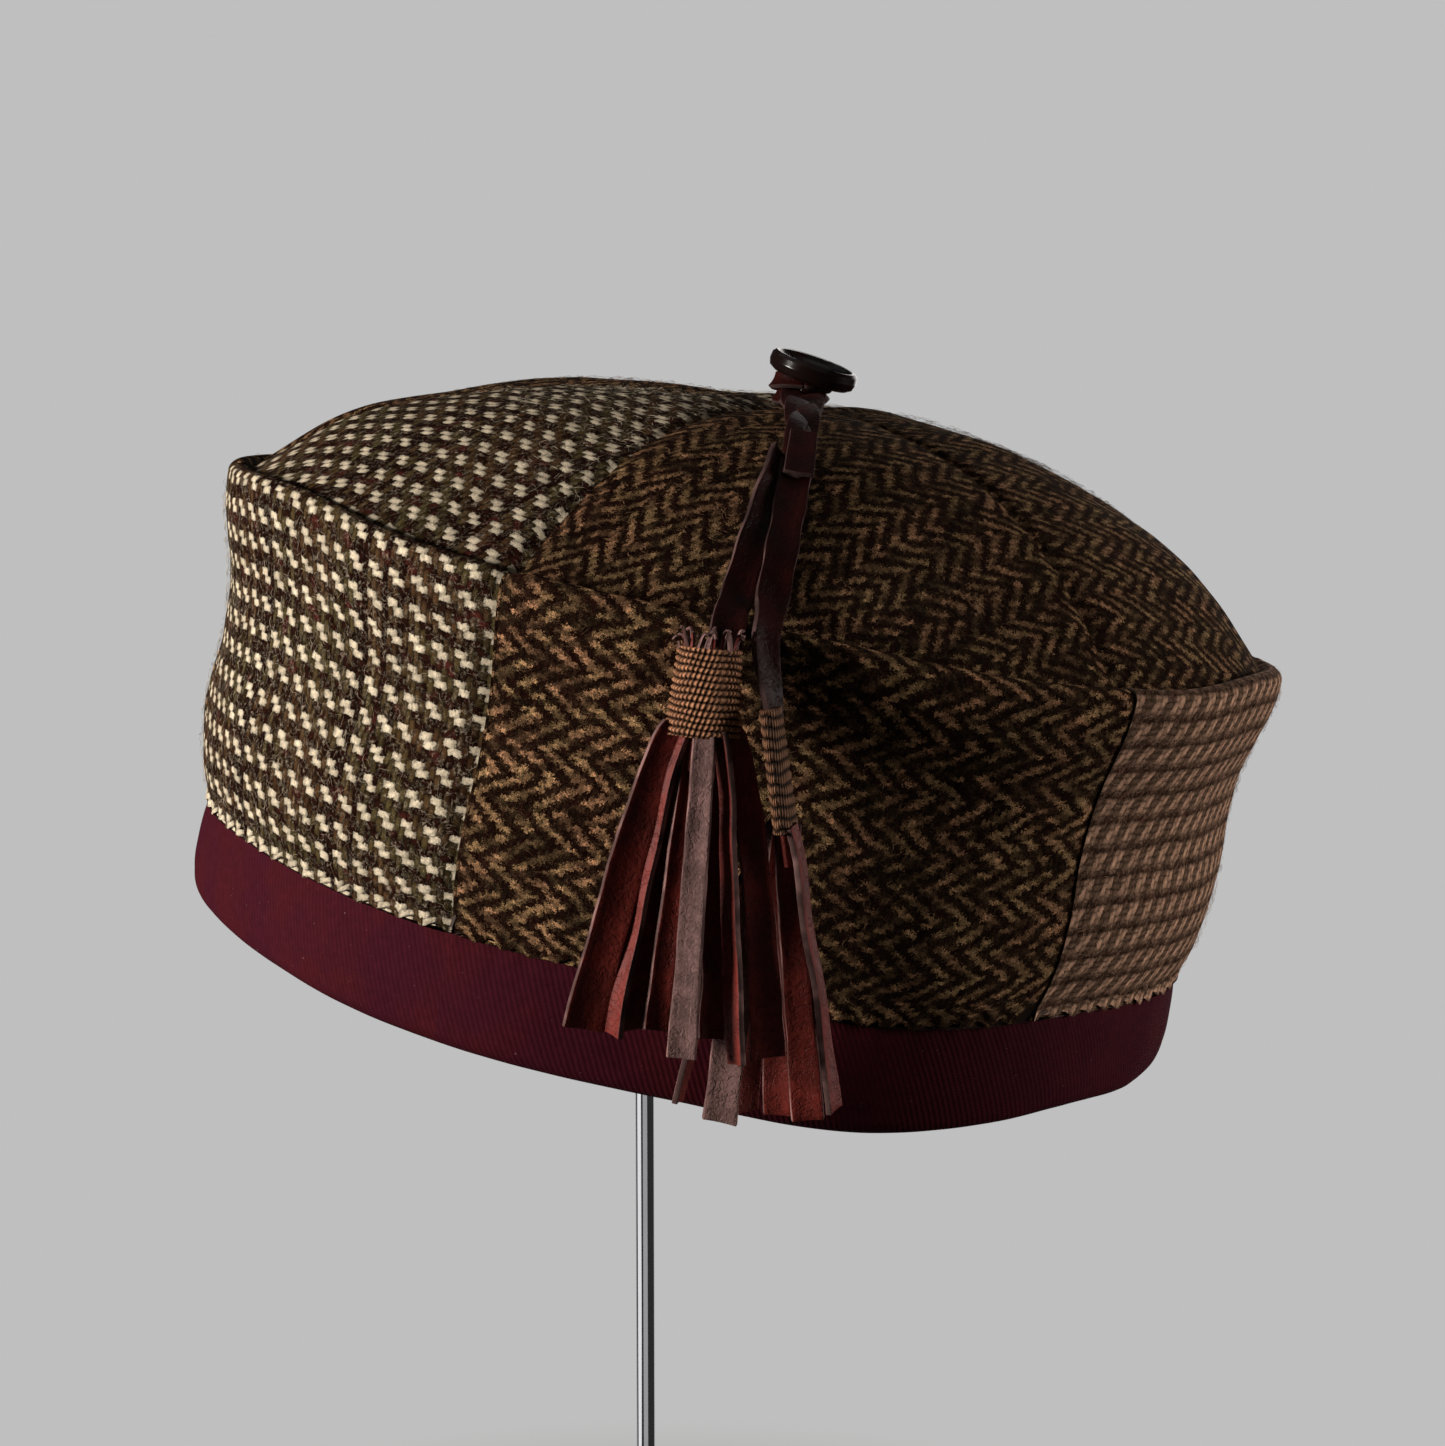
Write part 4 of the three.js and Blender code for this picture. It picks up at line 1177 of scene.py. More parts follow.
def side_panel(panel):
    """One tweed side panel, its top edge rolled over into the ridge and its inside lined."""
    shape = bpy.context.scene.cap_shape
    name = PANELS[panel]
    level, out, length, outside = side_outline()
    turns = cloth_columns(panel, SIDE_COLUMNS)
    ends = seam_turns()[panel:panel + 2]
    x, y = oval(turns, shape.ridge_overhang / 2, RIM_CORNER)
    girth = added_up(np.hypot(np.diff(x), np.diff(y)))
    girth -= girth[-1] / 2
    folded = CLOTHS[name][0] == "check_rose"

    def place(column, row):
        turn, up, away = turns[column], level[row], out[row]
        rough = side_place(turn, up, away)
        distance = np.minimum(turn - ends[0], ends[1] - turn) * shape.rim_half_width
        seam = panel + (turn - ends[0] > ends[1] - turn)
        crease = np.where(np.isin(seam, SHALLOW_SEAMS), SHALLOW_CREASE, SEAM_CREASE)
        if folded:
            crease = -FOLDED_RISE
        dip = seam_dip(distance)
        uneven = crumpled(rough, 11 + panel, 31)
        beside = np.exp(-distance / PUCKER_REACH)
        pucker = np.sin(length[row] / SEAM_PUCKER + 2 * soft_noise(rough, 12 * MM, 7)) * beside
        hem = np.exp(-(length[row] / (2.4 * MM)) ** 2)
        scallop = np.cos(girth[column] / CHECK_REPEAT * 2 * math.pi) * hem
        calm = seam_calm(distance)
        moved = (uneven * 0.8 + pucker * 0.35) * (1 - hem) * calm * shape.crumple
        away = away + outside[row] * (moved + 0.3 * MM * scallop - crease * dip)
        ragged = 0.45 * (scallop - hem) + 0.6 * hem * soft_noise(rough, 5 * MM, 23)
        up = up - outside[row] * ragged * MM / shape.panel_height
        on_ridge = np.clip((up - 0.95) / 0.04, 0, 1) * outside[row]
        up = up - on_ridge * 0.9 * crease * dip / shape.panel_height
        cloth = np.stack([girth[column], length[row]], -1) / MM
        return side_place(turn, up, away), turned_cloth(cloth, CLOTHS[name][1])

    piece = shaped_grid(f"cap_side_{name}", SIDE_COLUMNS, len(level) - 1, place)
    give_finishes(piece, [CLOTHS[name][0], "herringbone_side", "lining"])
    rows = len(level)
    lined = outside < 0.5
    points = face_points(piece)
    row_of, column_of = np.divmod(np.arange((SIDE_COLUMNS + 1) * rows), SIDE_COLUMNS + 1)
    finish = lined[row_of[points]].all(1).astype(np.int32) * 2
    # On the cream panels the two columns of faces next to each seam take the dark herringbone:
    # painted shade along the seam's crease.
    beside = np.minimum(column_of, SIDE_COLUMNS - column_of)[points].max(1)
    finish = np.where((finish == 0) & (beside <= (0 if folded else 2)), 1, finish)
    piece.data.polygons.foreach_set("material_index", finish.astype(np.int32))
    return close_up(piece)


def wool_finish(name, light, dark):
    """Loose wool, lighter and darker from fibre to fibre."""
    graph = Graph(name)
    place = graph.object_place()
    mixed = graph.smooth(graph.noise(place, 420.0, 1.0), 0.35, 0.65)
    fine = graph.noise(place, 2500.0, 1.0)
    colour = graph.mix(mixed, dark, light)
    return graph.finish(colour, 0.9, graph.bump(fine, 0.2, 0.02 * MM), 0.05)


# Loose wool of each cloth, and the least and most of its fibres' sizes in mm
WOOL = {
    "check_cream": "wool_cream", "check_cream_tip_painted_shade": "wool_cream", "check_rose": "wool_rose",
    "herringbone_side": "wool_dark", "herringbone_tip_painted_shade": "wool_dark",
}
FIBRE_REACH = (1.2, 3.4)
FIBRE_STAND = (0.3, 0.95)
FIBRE_CURL = (-0.7, 0.7)
FIBRE_RADIUS = (0.02, 0.036)
FIBRE_TAPER = np.array([0, 1, 1.1, 0.8, 0])


def loose_fibres(name, surface, seed, finish):
    """Thin curled wool fibres that stand off the cloth.

    surface takes shares across and along the cloth and gives places and outward directions.
    """
    count = bpy.context.scene.cap_shape.fibre_count
    random = np.random.default_rng(seed)
    base, outward = surface(random.uniform(0, 1, count), random.uniform(0, 1, count))
    heading = unit(np.cross(outward, random.normal(size=(count, 3))))
    aside = np.cross(outward, heading)
    reach = random.uniform(*FIBRE_REACH, count) * MM
    stand = random.uniform(*FIBRE_STAND, count) * MM
    curl = random.uniform(*FIBRE_CURL, count) * MM
    radius = random.uniform(*FIBRE_RADIUS, count) * MM
    rings = len(FIBRE_TAPER)

    def place(column, row):
        fibre, ring = row // rings, row % rings
        share = ring / (rings - 1)
        centre = base[fibre] + heading[fibre] * (reach[fibre] * (share - 0.5))[:, None]
        centre += aside[fibre] * (curl[fibre] * np.sin(math.pi * 1.4 * share))[:, None]
        rise = stand[fibre] * np.sin(math.pi * (0.08 + 0.8 * share)) - 0.25 * MM
        centre += outward[fibre] * rise[:, None]
        angle = 2 * math.pi * column / 3
        thick = radius[fibre] * FIBRE_TAPER[ring]
        centre += outward[fibre] * (thick * np.cos(angle))[:, None]
        centre += aside[fibre] * (thick * np.sin(angle))[:, None]
        return centre, np.stack([share, share], -1)

    piece = shaped_grid(name, 3, count * rings - 1, place)
    give_finishes(piece, [finish])
    make_active(piece)
    bpy.ops.object.mode_set(mode="EDIT")
    bpy.ops.mesh.select_all(action="SELECT")
    bpy.ops.mesh.remove_doubles(threshold=0.001 * MM)
    bpy.ops.mesh.select_all(action="SELECT")
    bpy.ops.mesh.delete_loose(use_verts=True, use_edges=True, use_faces=False)
    bpy.ops.mesh.select_all(action="SELECT")
    bpy.ops.mesh.normals_make_consistent(inside=False)
    bpy.ops.object.mode_set(mode="OBJECT")
    bpy.ops.object.shade_smooth()
    return piece


def side_fibres(panel):
    """Loose wool on a side panel and on its ridge."""
    shape = bpy.context.scene.cap_shape
    name = PANELS[panel]
    start, end = seam_turns()[panel:panel + 2]

    def surface(across, along):
        turn = start + (end - start) * across
        level = 0.01 + 0.985 * along
        out = smooth_table(SIDE_ROWS, level) * shape.ridge_overhang
        here = side_place(turn, level, out)
        outward = unit(side_place(turn, level, out + 1 * MM) - here)
        top = np.clip((level - 0.93) / 0.05, 0, 1)[:, None]
        leaning = unit(outward * (1 - 0.7 * top) + CAP_UPRIGHT * top)
        return here - outward * top * 1.4 * MM, leaning

    return loose_fibres(f"side_{name}_wool", surface, 500 + panel, WOOL[CLOTHS[name][0]])


def tip_fibres(panel):
    """Loose wool on a wedge of the crown."""
    name = PANELS[panel]
    start, end = seam_turns()[panel:panel + 2]

    def surface(across, along):
        turn = start + (end - start) * across
        reach = 0.06 + 0.93 * np.sqrt(along)
        return crown_place(turn, reach), crown_normal(turn, reach)

    return loose_fibres(f"tip_{name}_wool", surface, 600 + panel, WOOL[CLOTHS[name][2]])


class CAP_OT_sides(bpy.types.Operator):
    """Models the tweed side panels with their standing ridge"""

    bl_idname = "smoking_cap.sides"
    bl_label = "Side Panels"

    def execute(self, context):
        slots = {"herringbone_side": "tweed_dark", "check_rose": "tweed_rose"}
        for panel, name in enumerate(PANELS):
            piece = joined([side_panel(panel), side_fibres(panel)], f"cap_side_{name}")
            slot = slots.get(CLOTHS[name][0], "tweed_cream")
            settle(piece, slot, f"side_{name}")
        return {"FINISHED"}


# Crown wedges
TIP_COLUMNS = 110


def crown_outline():
    """A wedge's closed section: reach from the button, and 1 on its inside."""
    shape = bpy.context.scene.cap_shape
    hole = APEX_HOLE / shape.rim_half_width
    share = np.linspace(0, 1, 96)
    outer = 1 - (1 - hole) * (share + 0.05 * np.sin(2 * math.pi * share))
    inner = np.linspace(hole, 1, 26)
    reach = np.concatenate([outer, inner, outer[:1]])
    inside = np.concatenate([np.zeros(len(outer)), np.ones(len(inner)), [0]])
    return reach, inside


def crown_tip(panel):
    """One tweed wedge of the crown, from the gutter to the button, lined underneath."""
    shape = bpy.context.scene.cap_shape
    name = PANELS[panel]
    reach, inside = crown_outline()
    turns = cloth_columns(panel, TIP_COLUMNS)
    ends = seam_turns()[panel:panel + 2]
    middle = ends.mean()
    run = np.linspace(0, 1, 200)
    spine = crown_place(middle, run)
    radii = added_up(gaps_between(spine))
    radius = np.interp(reach, run, radii)
    edge = np.linalg.norm(crown_place(ends[0], 1.0) - crown_place(ends[1], 1.0))
    fan = 2 * math.asin(min(1, edge / 2 / radii[-1])) / (ends[1] - ends[0])

    def place(column, row):
        turn, out = turns[column], reach[row]
        rough = crown_place(turn, out)
        distance = np.minimum(turn - ends[0], ends[1] - turn) * shape.rim_half_width * out
        dip = seam_dip(distance) * np.minimum(1, 4 * out)
        uneven = crumpled(rough, 51 + panel, 61)
        pucker = np.sin(radius[row] / SEAM_PUCKER + 2 * soft_noise(rough, 12 * MM, 9))
        moved = uneven * 0.9 + pucker * 0.35 * np.exp(-distance / PUCKER_REACH)
        calm = np.clip((out - 0.06) / 0.1, 0, 1) * seam_calm(distance)
        west = bumps(BRIM_PLACE, turn)
        brim = (BRIM_LIFT[0] + BRIM_LIFT[1] * west) * out ** 14
        full = bumps(CROWN_BULGES, turn) * np.exp(-(((out - 0.84) / 0.13) ** 2))
        top = SEAM_CREASE * dip - moved * shape.crumple * calm - (brim + full) * MM
        over = out * (1 + BRIM_REACH * west * out ** 30)
        out = np.where(inside[row] > 0.5, out, over)
        drop = np.where(inside[row] > 0.5, crown_depth(out), top)
        angle = (turn - middle) * fan
        cloth = np.stack([radius[row] * np.sin(angle), -radius[row] * np.cos(angle)], -1) / MM
        return crown_place(turn, out, drop), turned_cloth(cloth, CLOTHS[name][3])

    piece = shaped_grid(f"cap_tip_{name}", TIP_COLUMNS, len(reach) - 1, place)
    give_finishes(piece, [CLOTHS[name][2], "lining"])
    points = face_points(piece)
    row_of = np.arange((TIP_COLUMNS + 1) * len(reach)) // (TIP_COLUMNS + 1)
    index = (inside[row_of[points]] > 0.5).all(1).astype(np.int32)
    piece.data.polygons.foreach_set("material_index", index)
    return close_up(piece)


class CAP_OT_crown(bpy.types.Operator):
    """Models the tweed wedges of the crown"""

    bl_idname = "smoking_cap.crown"
    bl_label = "Crown Wedges"

    def execute(self, context):
        for panel, name in enumerate(PANELS):
            piece = joined([crown_tip(panel), tip_fibres(panel)], f"cap_tip_{name}")
            slot = "tweed_cream" if CLOTHS[name][2] == "check_cream_tip_painted_shade" else "tweed_dark"
            settle(piece, slot, f"tip_{name}")
        return {"FINISHED"}


# Leather
def crown_normal(turn, reach):
    """The direction straight out of the crown."""
    step = 0.01
    here = crown_place(turn, reach)
    outward = crown_place(turn, reach + step) - here
    return unit(np.cross(outward, crown_place(turn + step, reach) - here))


def unit(vectors):
    """Vectors of length 1."""
    return vectors / np.linalg.norm(vectors, axis=-1, keepdims=True)


def smooth_path(marks, count):
    """Points of a smooth curve through marks, evenly spaced, with any further columns carried."""
    marks = np.asarray(marks, float)
    knots = added_up(gaps_between(marks[:, :3]) ** 0.5)
    curve = smooth_curve(knots, marks, np.linspace(0, knots[-1], 60 * len(marks)))
    length = added_up(gaps_between(curve[:, :3]))
    even = np.linspace(0, length[-1], count + 1)
    return np.stack([np.interp(even, length, column) for column in curve.T], -1)


def leather_ribbon(
    name, path, across, widths, finishes, cup=0.0, slant=0.0, seed=0, wave=0.25, thin=1.0,
):
    """A strip of leather along a path, a little cupped and wavy, with bevelled cut edges.

    finishes are for the side its normal leaves, the side behind, and its cut edge.
    """
    thickness = bpy.context.scene.cap_trim.leather_thickness * thin
    rows = len(path) - 1
    columns = 6
    tangent = unit(np.gradient(path, axis=0))
    across = np.broadcast_to(across, path.shape)
    across = unit(across - (across * tangent).sum(-1, keepdims=True) * tangent)
    normal = np.cross(across, tangent)
    widths = np.broadcast_to(widths, len(path))
    steps = added_up(gaps_between(path))

    def place(column, row):
        side = column / columns - 0.5
        rough = soft_noise(path[row], 13 * MM, seed) * wave * MM
        width = widths[row] * (1 + 0.05 * soft_noise(path[row], 9 * MM, seed + 40))
        rise = rough + cup * MM * (4 * side ** 2 - 0.5)
        trim = np.where(row == rows, slant * side * width, 0)
        points = path[row] + across[row] * (side * width)[:, None]
        points += normal[row] * rise[:, None] + tangent[row] * trim[:, None]
        cloth = np.stack([side * width + 40 * MM * seed, steps[row]], -1) / MM
        return points, cloth

    piece = shaped_grid(name, columns, rows, place)
    give_finishes(piece, finishes)
    solid = piece.modifiers.new("thickness", "SOLIDIFY")
    solid.thickness = thickness
    solid.offset = 0
    solid.material_offset = 1
    solid.material_offset_rim = 2
    soften_edges(piece, 0.16 * thickness, 2, 50)
    apply_all(piece)
    bpy.ops.object.shade_smooth_by_angle(angle=math.radians(45))
    return piece


GRAIN = ("leather_grain", "leather_suede", "leather_edge")
SUEDE = ("leather_suede", "leather_grain", "leather_edge")
DARK = ("leather_dark", "leather_dark", "leather_rim")


def tassel_line(tassel):
    """The way a tassel hangs, and the top of its wrap."""
    shape = bpy.context.scene.cap_shape
    crest = side_place(tassel["turn"], 1.0, shape.ridge_overhang)
    down = unit(np.array([tassel["lean"], 0.0, -1.0]))
    top = crest + np.array([0, -1.0, 0]) * tassel["standoff"] + down * tassel["drop"]
    return down, top


def hung(points, tassel, below):
    """Points about a tassel's own upright axis, moved to where it hangs."""
    down, top = tassel_line(tassel)
    tilt = Vector((0, 0, -1)).rotation_difference(Vector(down)).to_matrix()
    return points @ np.array(tilt).T + top + down * below


class CAP_OT_thong(bpy.types.Operator):
    """Braids the leather thong, loops it round the button's shank and cuts its end"""

    bl_idname = "smoking_cap.thong"
    bl_label = "Plaited Thong"

    def execute(self, context):
        trim = context.scene.cap_trim
        shape = context.scene.cap_shape
        share = np.linspace(0, 1, PLAIT_POINTS)
        reach = (PLAIT_START + trim.plait_length * share) / shape.rim_half_width
        middle = crown_place(PLAIT_TURN, reach)
        normal = crown_normal(PLAIT_TURN, reach)
        along = unit(np.gradient(middle, axis=0))
        across = unit(np.cross(along, normal))
        wide = (PLAIT_WIDTH[0] - PLAIT_WIDTH[1] * share ** 0.8) * MM
        strand = (STRAND_WIDTH[0] - STRAND_WIDTH[1] * share) * MM
        pieces = []
        for k in range(3):
            phase = 2 * math.pi * (PLAIT_TURNS * share + k / 3)
            beside = np.sin(phase) * (wide - strand) / 2
            lift = 1.9 * MM + 0.72 * MM * np.sin(2 * phase)
            path = middle + across * beside[:, None] + normal * lift[:, None]
            lean = across + normal * (0.3 * np.cos(phase))[:, None]
            pieces.append(
                leather_ribbon(f"strand_{k}", path, lean, strand, DARK, -0.15, 0, k, 0.05)
            )
        tab = slice(PLAIT_POINTS - TAB_POINTS, PLAIT_POINTS)
        path = middle[tab] + normal[tab] * (3.6 + 0.4 * np.cos(share[tab] * 9)[:, None]) * MM
        path = path - across[tab] * 0.5 * MM
        pieces.append(leather_ribbon("tab", path, across[tab], TAB_WIDTH, DARK, 0.2, 0.05, 8, 0.1))
        apex = crown_place(0.0, 0.0)
        for k, (radius, height, tilt, width) in enumerate(LOOPS):
            angle = np.linspace(0.1, 2 * math.pi + 0.1, 60)
            ring = np.stack([np.sin(angle), -np.cos(angle), np.zeros_like(angle)], -1)
            path = apex + ring * radius * MM
            path[:, 2] += (height - tilt * np.cos(angle + 0.6 * k)) * MM
            lean = ring * 0.55 + np.array([0, 0, -1.0])
            pieces.append(
                leather_ribbon(f"loop_{k}", path, lean, width * MM, DARK, 0.3, 0, 20 + k, 0.1)
            )
        settle(joined(pieces, "plaited_thong"), "leather_brown", "thong_plait")
        return {"FINISHED"}


class CAP_OT_button(bpy.types.Operator):
    """Turns the dished glossy button on its shank"""

    bl_idname = "smoking_cap.button"
    bl_label = "Button"

    def execute(self, context):
        trim = context.scene.cap_trim
        radius, thick = trim.button_radius, trim.button_thickness
        low = BUTTON_SEAT + radius * math.sin(BUTTON_ROOM)
        shank = [(0, SHANK_FOOT), (SHANK_RADIUS, SHANK_FOOT), (SHANK_RADIUS, low)]
        dish = [(away * radius, low + high * thick) for away, high in BUTTON_OUTLINE]
        outline = np.array(shank + dish)
        steps = added_up(gaps_between(outline))
        fine = np.union1d(np.linspace(0, steps[-1], 90), steps)
        profile = np.stack([np.interp(fine, steps, outline[:, axis]) for axis in range(2)], -1)
        apex = crown_place(0.0, 0.0)
        roll = np.array(CAP_MATRIX.to_3x3() @ Matrix.Rotation(BUTTON_TILT, 3, "Y")).T

        def place(column, row):
            angle = 2 * math.pi * column / BUTTON_COLUMNS
            away, high = profile[row].T
            points = np.stack([away * np.cos(angle), away * np.sin(angle), high], -1)
            return points @ roll + apex, points[:, :2] / MM

        piece = shaped_grid("button", BUTTON_COLUMNS, len(profile) - 1, place)
        give_finishes(piece, ["glossy_horn"])
        close_up(piece, 35)
        soften_edges(piece, 0.25 * MM, 3, 35)
        apply_all(piece)
        bpy.ops.object.shade_smooth_by_angle(angle=math.radians(60))
        settle(piece, "button_brown", "button")
        return {"FINISHED"}


class CAP_OT_straps(bpy.types.Operator):
    """Lays the flat straps from the thong over the ridge to the wraps"""

    bl_idname = "smoking_cap.straps"
    bl_label = "Straps"

    def execute(self, context):
        shape, trim = context.scene.cap_shape, context.scene.cap_trim
        lift = 1.1 * MM + trim.leather_thickness / 2 + 0.2 * MM
        for tassel in TASSELS:
            down, top = tassel_line(tassel)
            share = np.linspace(0, 1, 5)
            start_reach = (PLAIT_START + trim.plait_length + tassel["clear"]) / shape.rim_half_width
            reach = start_reach + (STRAP_LEAVES_CROWN - start_reach) * share
            first = PLAIT_TURN - tassel["beside"] / (start_reach * shape.rim_half_length)
            last = tassel["turn"] + tassel["sidle"]
            turn = first + (last - first) * share
            normals = crown_normal(turn, reach)
            marks = list(crown_place(turn, reach) + normals * lift)
            over = side_place(last, 1.0, shape.ridge_overhang - shape.ridge_roll)
            ahead = np.array([0, -1.0, 0])
            end = top + down * 2.5 * MM + np.array([tassel["aside"], 0, 0])
            outside = side_place(last, 0.97, shape.ridge_overhang) + ahead * (lift + 0.6 * MM)
            marks += [over + CAP_UPRIGHT * lift, outside, end]
            facing = list(normals) + [CAP_UPRIGHT * 0.7 + ahead * 0.7, ahead, ahead]
            path, faces = np.hsplit(smooth_path(np.hstack([marks, facing]), 110), 2)
            run = np.linspace(0, 1, len(path))
            tangent = unit(np.gradient(path, axis=0))
            across = unit(np.cross(tangent, faces))
            twist = np.interp(run, tassel["twist_places"], np.radians(tassel["twists"]))[:, None]
            across = across * np.cos(twist) + unit(np.cross(across, tangent)) * np.sin(twist)
            width = trim.strap_width * np.interp(run, (0, 0.5, 1), tassel["widths"])
            piece = leather_ribbon("strap", path, across, width, DARK, 0.35, 0.1, 5, 0.3)
            piece.name = piece.data.name = f"strap_{tassel['name']}"
            settle(piece, "leather_brown", f"strap_{tassel['name']}")
        return {"FINISHED"}


class CAP_OT_wraps(bpy.types.Operator):
    """Winds the thread wraps and frays the leather over the first of them"""

    bl_idname = "smoking_cap.wraps"
    bl_label = "Thread Wraps"

    def execute(self, context):
        for tassel in TASSELS:
            piece = self.wound(tassel)
            settle(piece, "wrap_thread", f"tassel_{tassel['name']}_wrap")
            if tassel["tufts"]:
                tufts = [self.tuft(tassel, k) for k in range(tassel["tufts"])]
                piece = joined(tufts, f"tassel_{tassel['name']}_tufts")
                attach(piece, BODY)
        return {"FINISHED"}

    def tuft(self, tassel, number):
        """One frayed end of leather that sticks out over the wrap."""
        random = np.random.default_rng(300 + number)
        angle = 2.4 * number
        share = np.linspace(0, 1, 12)
        away = tassel["top_width"] / 2 * (0.55 + 0.4 * random.uniform()) * (1 + 0.28 * share ** 2)
        high = (random.uniform(1.6, 4.2) * np.sin(share * random.uniform(1.3, 2.3)) - 0.8) * MM
        bend = angle + random.uniform(-0.5, 0.5) * share
        path = np.stack([
            away * np.cos(bend), away * np.sin(bend) * tassel["depth"], high,
        ], -1)
        across = np.array([-math.sin(angle), math.cos(angle), random.uniform(-0.4, 0.4)])
        width = random.uniform(0.6, 1.3) * MM * (1 - 0.4 * share)
        pale = random.choice([0, 1])
        sides = ("leather_suede", "leather_edge", "leather_edge") if pale else GRAIN
        return leather_ribbon(
            f"tuft_{number}", hung(path, tassel, 0), across, width, sides, 0.1, 0, number, 0.1, 0.4,
        )

    def wound(self, tassel):
        """One wrap: a cord wound round and down, closed at both ends."""
        around, rows = WRAP_COLUMNS, tassel["ribs"] * WRAP_ROWS_PER_TURN
        top, end = tassel["top_width"] / 2, tassel["end_width"] / 2
        spin = Matrix.Rotation(tassel["spin"], 3, "Z")

        def place(column, row):
            share = np.clip((row - 2) / (rows - 4), 0, 1)
            angle = 2 * math.pi * column / around
            body = top + (end - top) * share
            turns = share * tassel["ribs"] - column / around
            ring = np.stack([np.cos(angle), np.sin(angle), share * 0], -1)
            thread = ring * body[:, None] + [0, 0, 1] * share[:, None] * 0.02
            wobble = 0.16 * soft_noise(thread, 6 * MM, 17)
            rib = np.abs(np.sin(math.pi * (turns + wobble)))
            away = body - 0.75 * MM * (1 - rib ** 0.7)
            shut = np.minimum(row, rows - row)
            away = away * np.array([0, 0.55, 0.86, 1])[np.minimum(shut, 3)]
            high = -share * tassel["wrap"]
            points = ring * away[:, None]
            points[:, 1] *= tassel["depth"]
            points[:, 2] = high
            cloth = np.stack([angle * body / MM, turns + wobble], -1)
            return hung(points @ np.array(spin).T, tassel, 0), cloth

        piece = shaped_grid(f"tassel_{tassel['name']}_wrap", around, rows, place)
        give_finishes(piece, [tassel["thread"]])
        return close_up(piece, 75)


class CAP_OT_fringes(bpy.types.Operator):
    """Cuts and hangs the leather strips of the tassels"""

    bl_idname = "smoking_cap.fringes"
    bl_label = "Leather Fringes"

    def execute(self, context):
        trim = context.scene.cap_trim
        for tassel in TASSELS:
            half = tassel["end_width"] / 2 * 0.84
            rows = tassel["strips"]
            besides = [row[0] for row in rows]
            middle, spread = (min(besides) + max(besides)) / 2, (max(besides) - min(besides)) / 2
            spin = tassel["spin"]
            seat = half * math.hypot(math.cos(spin), tassel["depth"] * math.sin(spin))
            seat -= trim.leather_thickness
            deep = half * math.hypot(math.sin(spin), tassel["depth"] * math.cos(spin))
            mean = sum(row[1] for row in rows) / len(rows)
            pieces = [self.core(tassel, half)]
            for number, (beside, ahead, reach, width, turn, face, bow) in enumerate(rows):
                share = np.linspace(0, 1, 44)
                fan = share ** 0.7
                near = -deep * min(1.0, max(-0.8, (ahead - mean) * 9))
                start = np.array([seat * (beside - middle) / spread, near, 1.5 * MM])
                end = np.array([beside, -ahead, -reach]) * trim.fringe_length
                path = start + (end - start) * fan[:, None]
                path[:, 2] = start[2] + (end[2] - start[2]) * share
                facing = math.radians(turn)
                sway = soft_noise(path + [0, 0, number], 45 * MM, 70 + number) * share
                across = np.stack([
                    np.cos(facing + 0.3 * sway), np.sin(facing + 0.3 * sway), 0 * share,
                ], -1)
                outward = np.array([math.sin(facing), -math.cos(facing), 0])
                path = path + outward * (bow * MM * np.sin(math.pi * share))[:, None]
                widths = width * STRIP_WIDTH * (0.75 + 0.25 * share)
                finishes = SUEDE if face == "grain" else GRAIN
                name = f"strip_{number}"
                pieces.append(leather_ribbon(
                    name, hung(path, tassel, tassel["wrap"] + REST_GAP), across, widths, finishes,
                    -0.35, 0.14 * math.sin(2.3 * number), 80 + number, 0.45,
                ))
            piece = joined(pieces, f"tassel_{tassel['name']}_fringe")
            settle(piece, "leather_brown", f"tassel_{tassel['name']}_fringe")
        return {"FINISHED"}

    def core(self, tassel, half):
        """The bundled leather under the wrap, on which the strips sit."""
        deselect_all()
        bpy.ops.mesh.primitive_cylinder_add(vertices=48, radius=half * 0.6, depth=8 * MM)
        core = bpy.context.object
        points = np.empty(3 * len(core.data.vertices), np.float32)
        core.data.vertices.foreach_get("co", points)
        points = points.reshape(-1, 3) * [1, tassel["depth"], 1]
        points = points @ np.array(Matrix.Rotation(tassel["spin"], 3, "Z")).T
        points = hung(points, tassel, tassel["wrap"] + 2 * MM)
        core.data.vertices.foreach_set("co", points.astype(np.float32).ravel())
        core.data.uv_layers[0].name = "cloth"
        give_finishes(core, GRAIN)
        return core


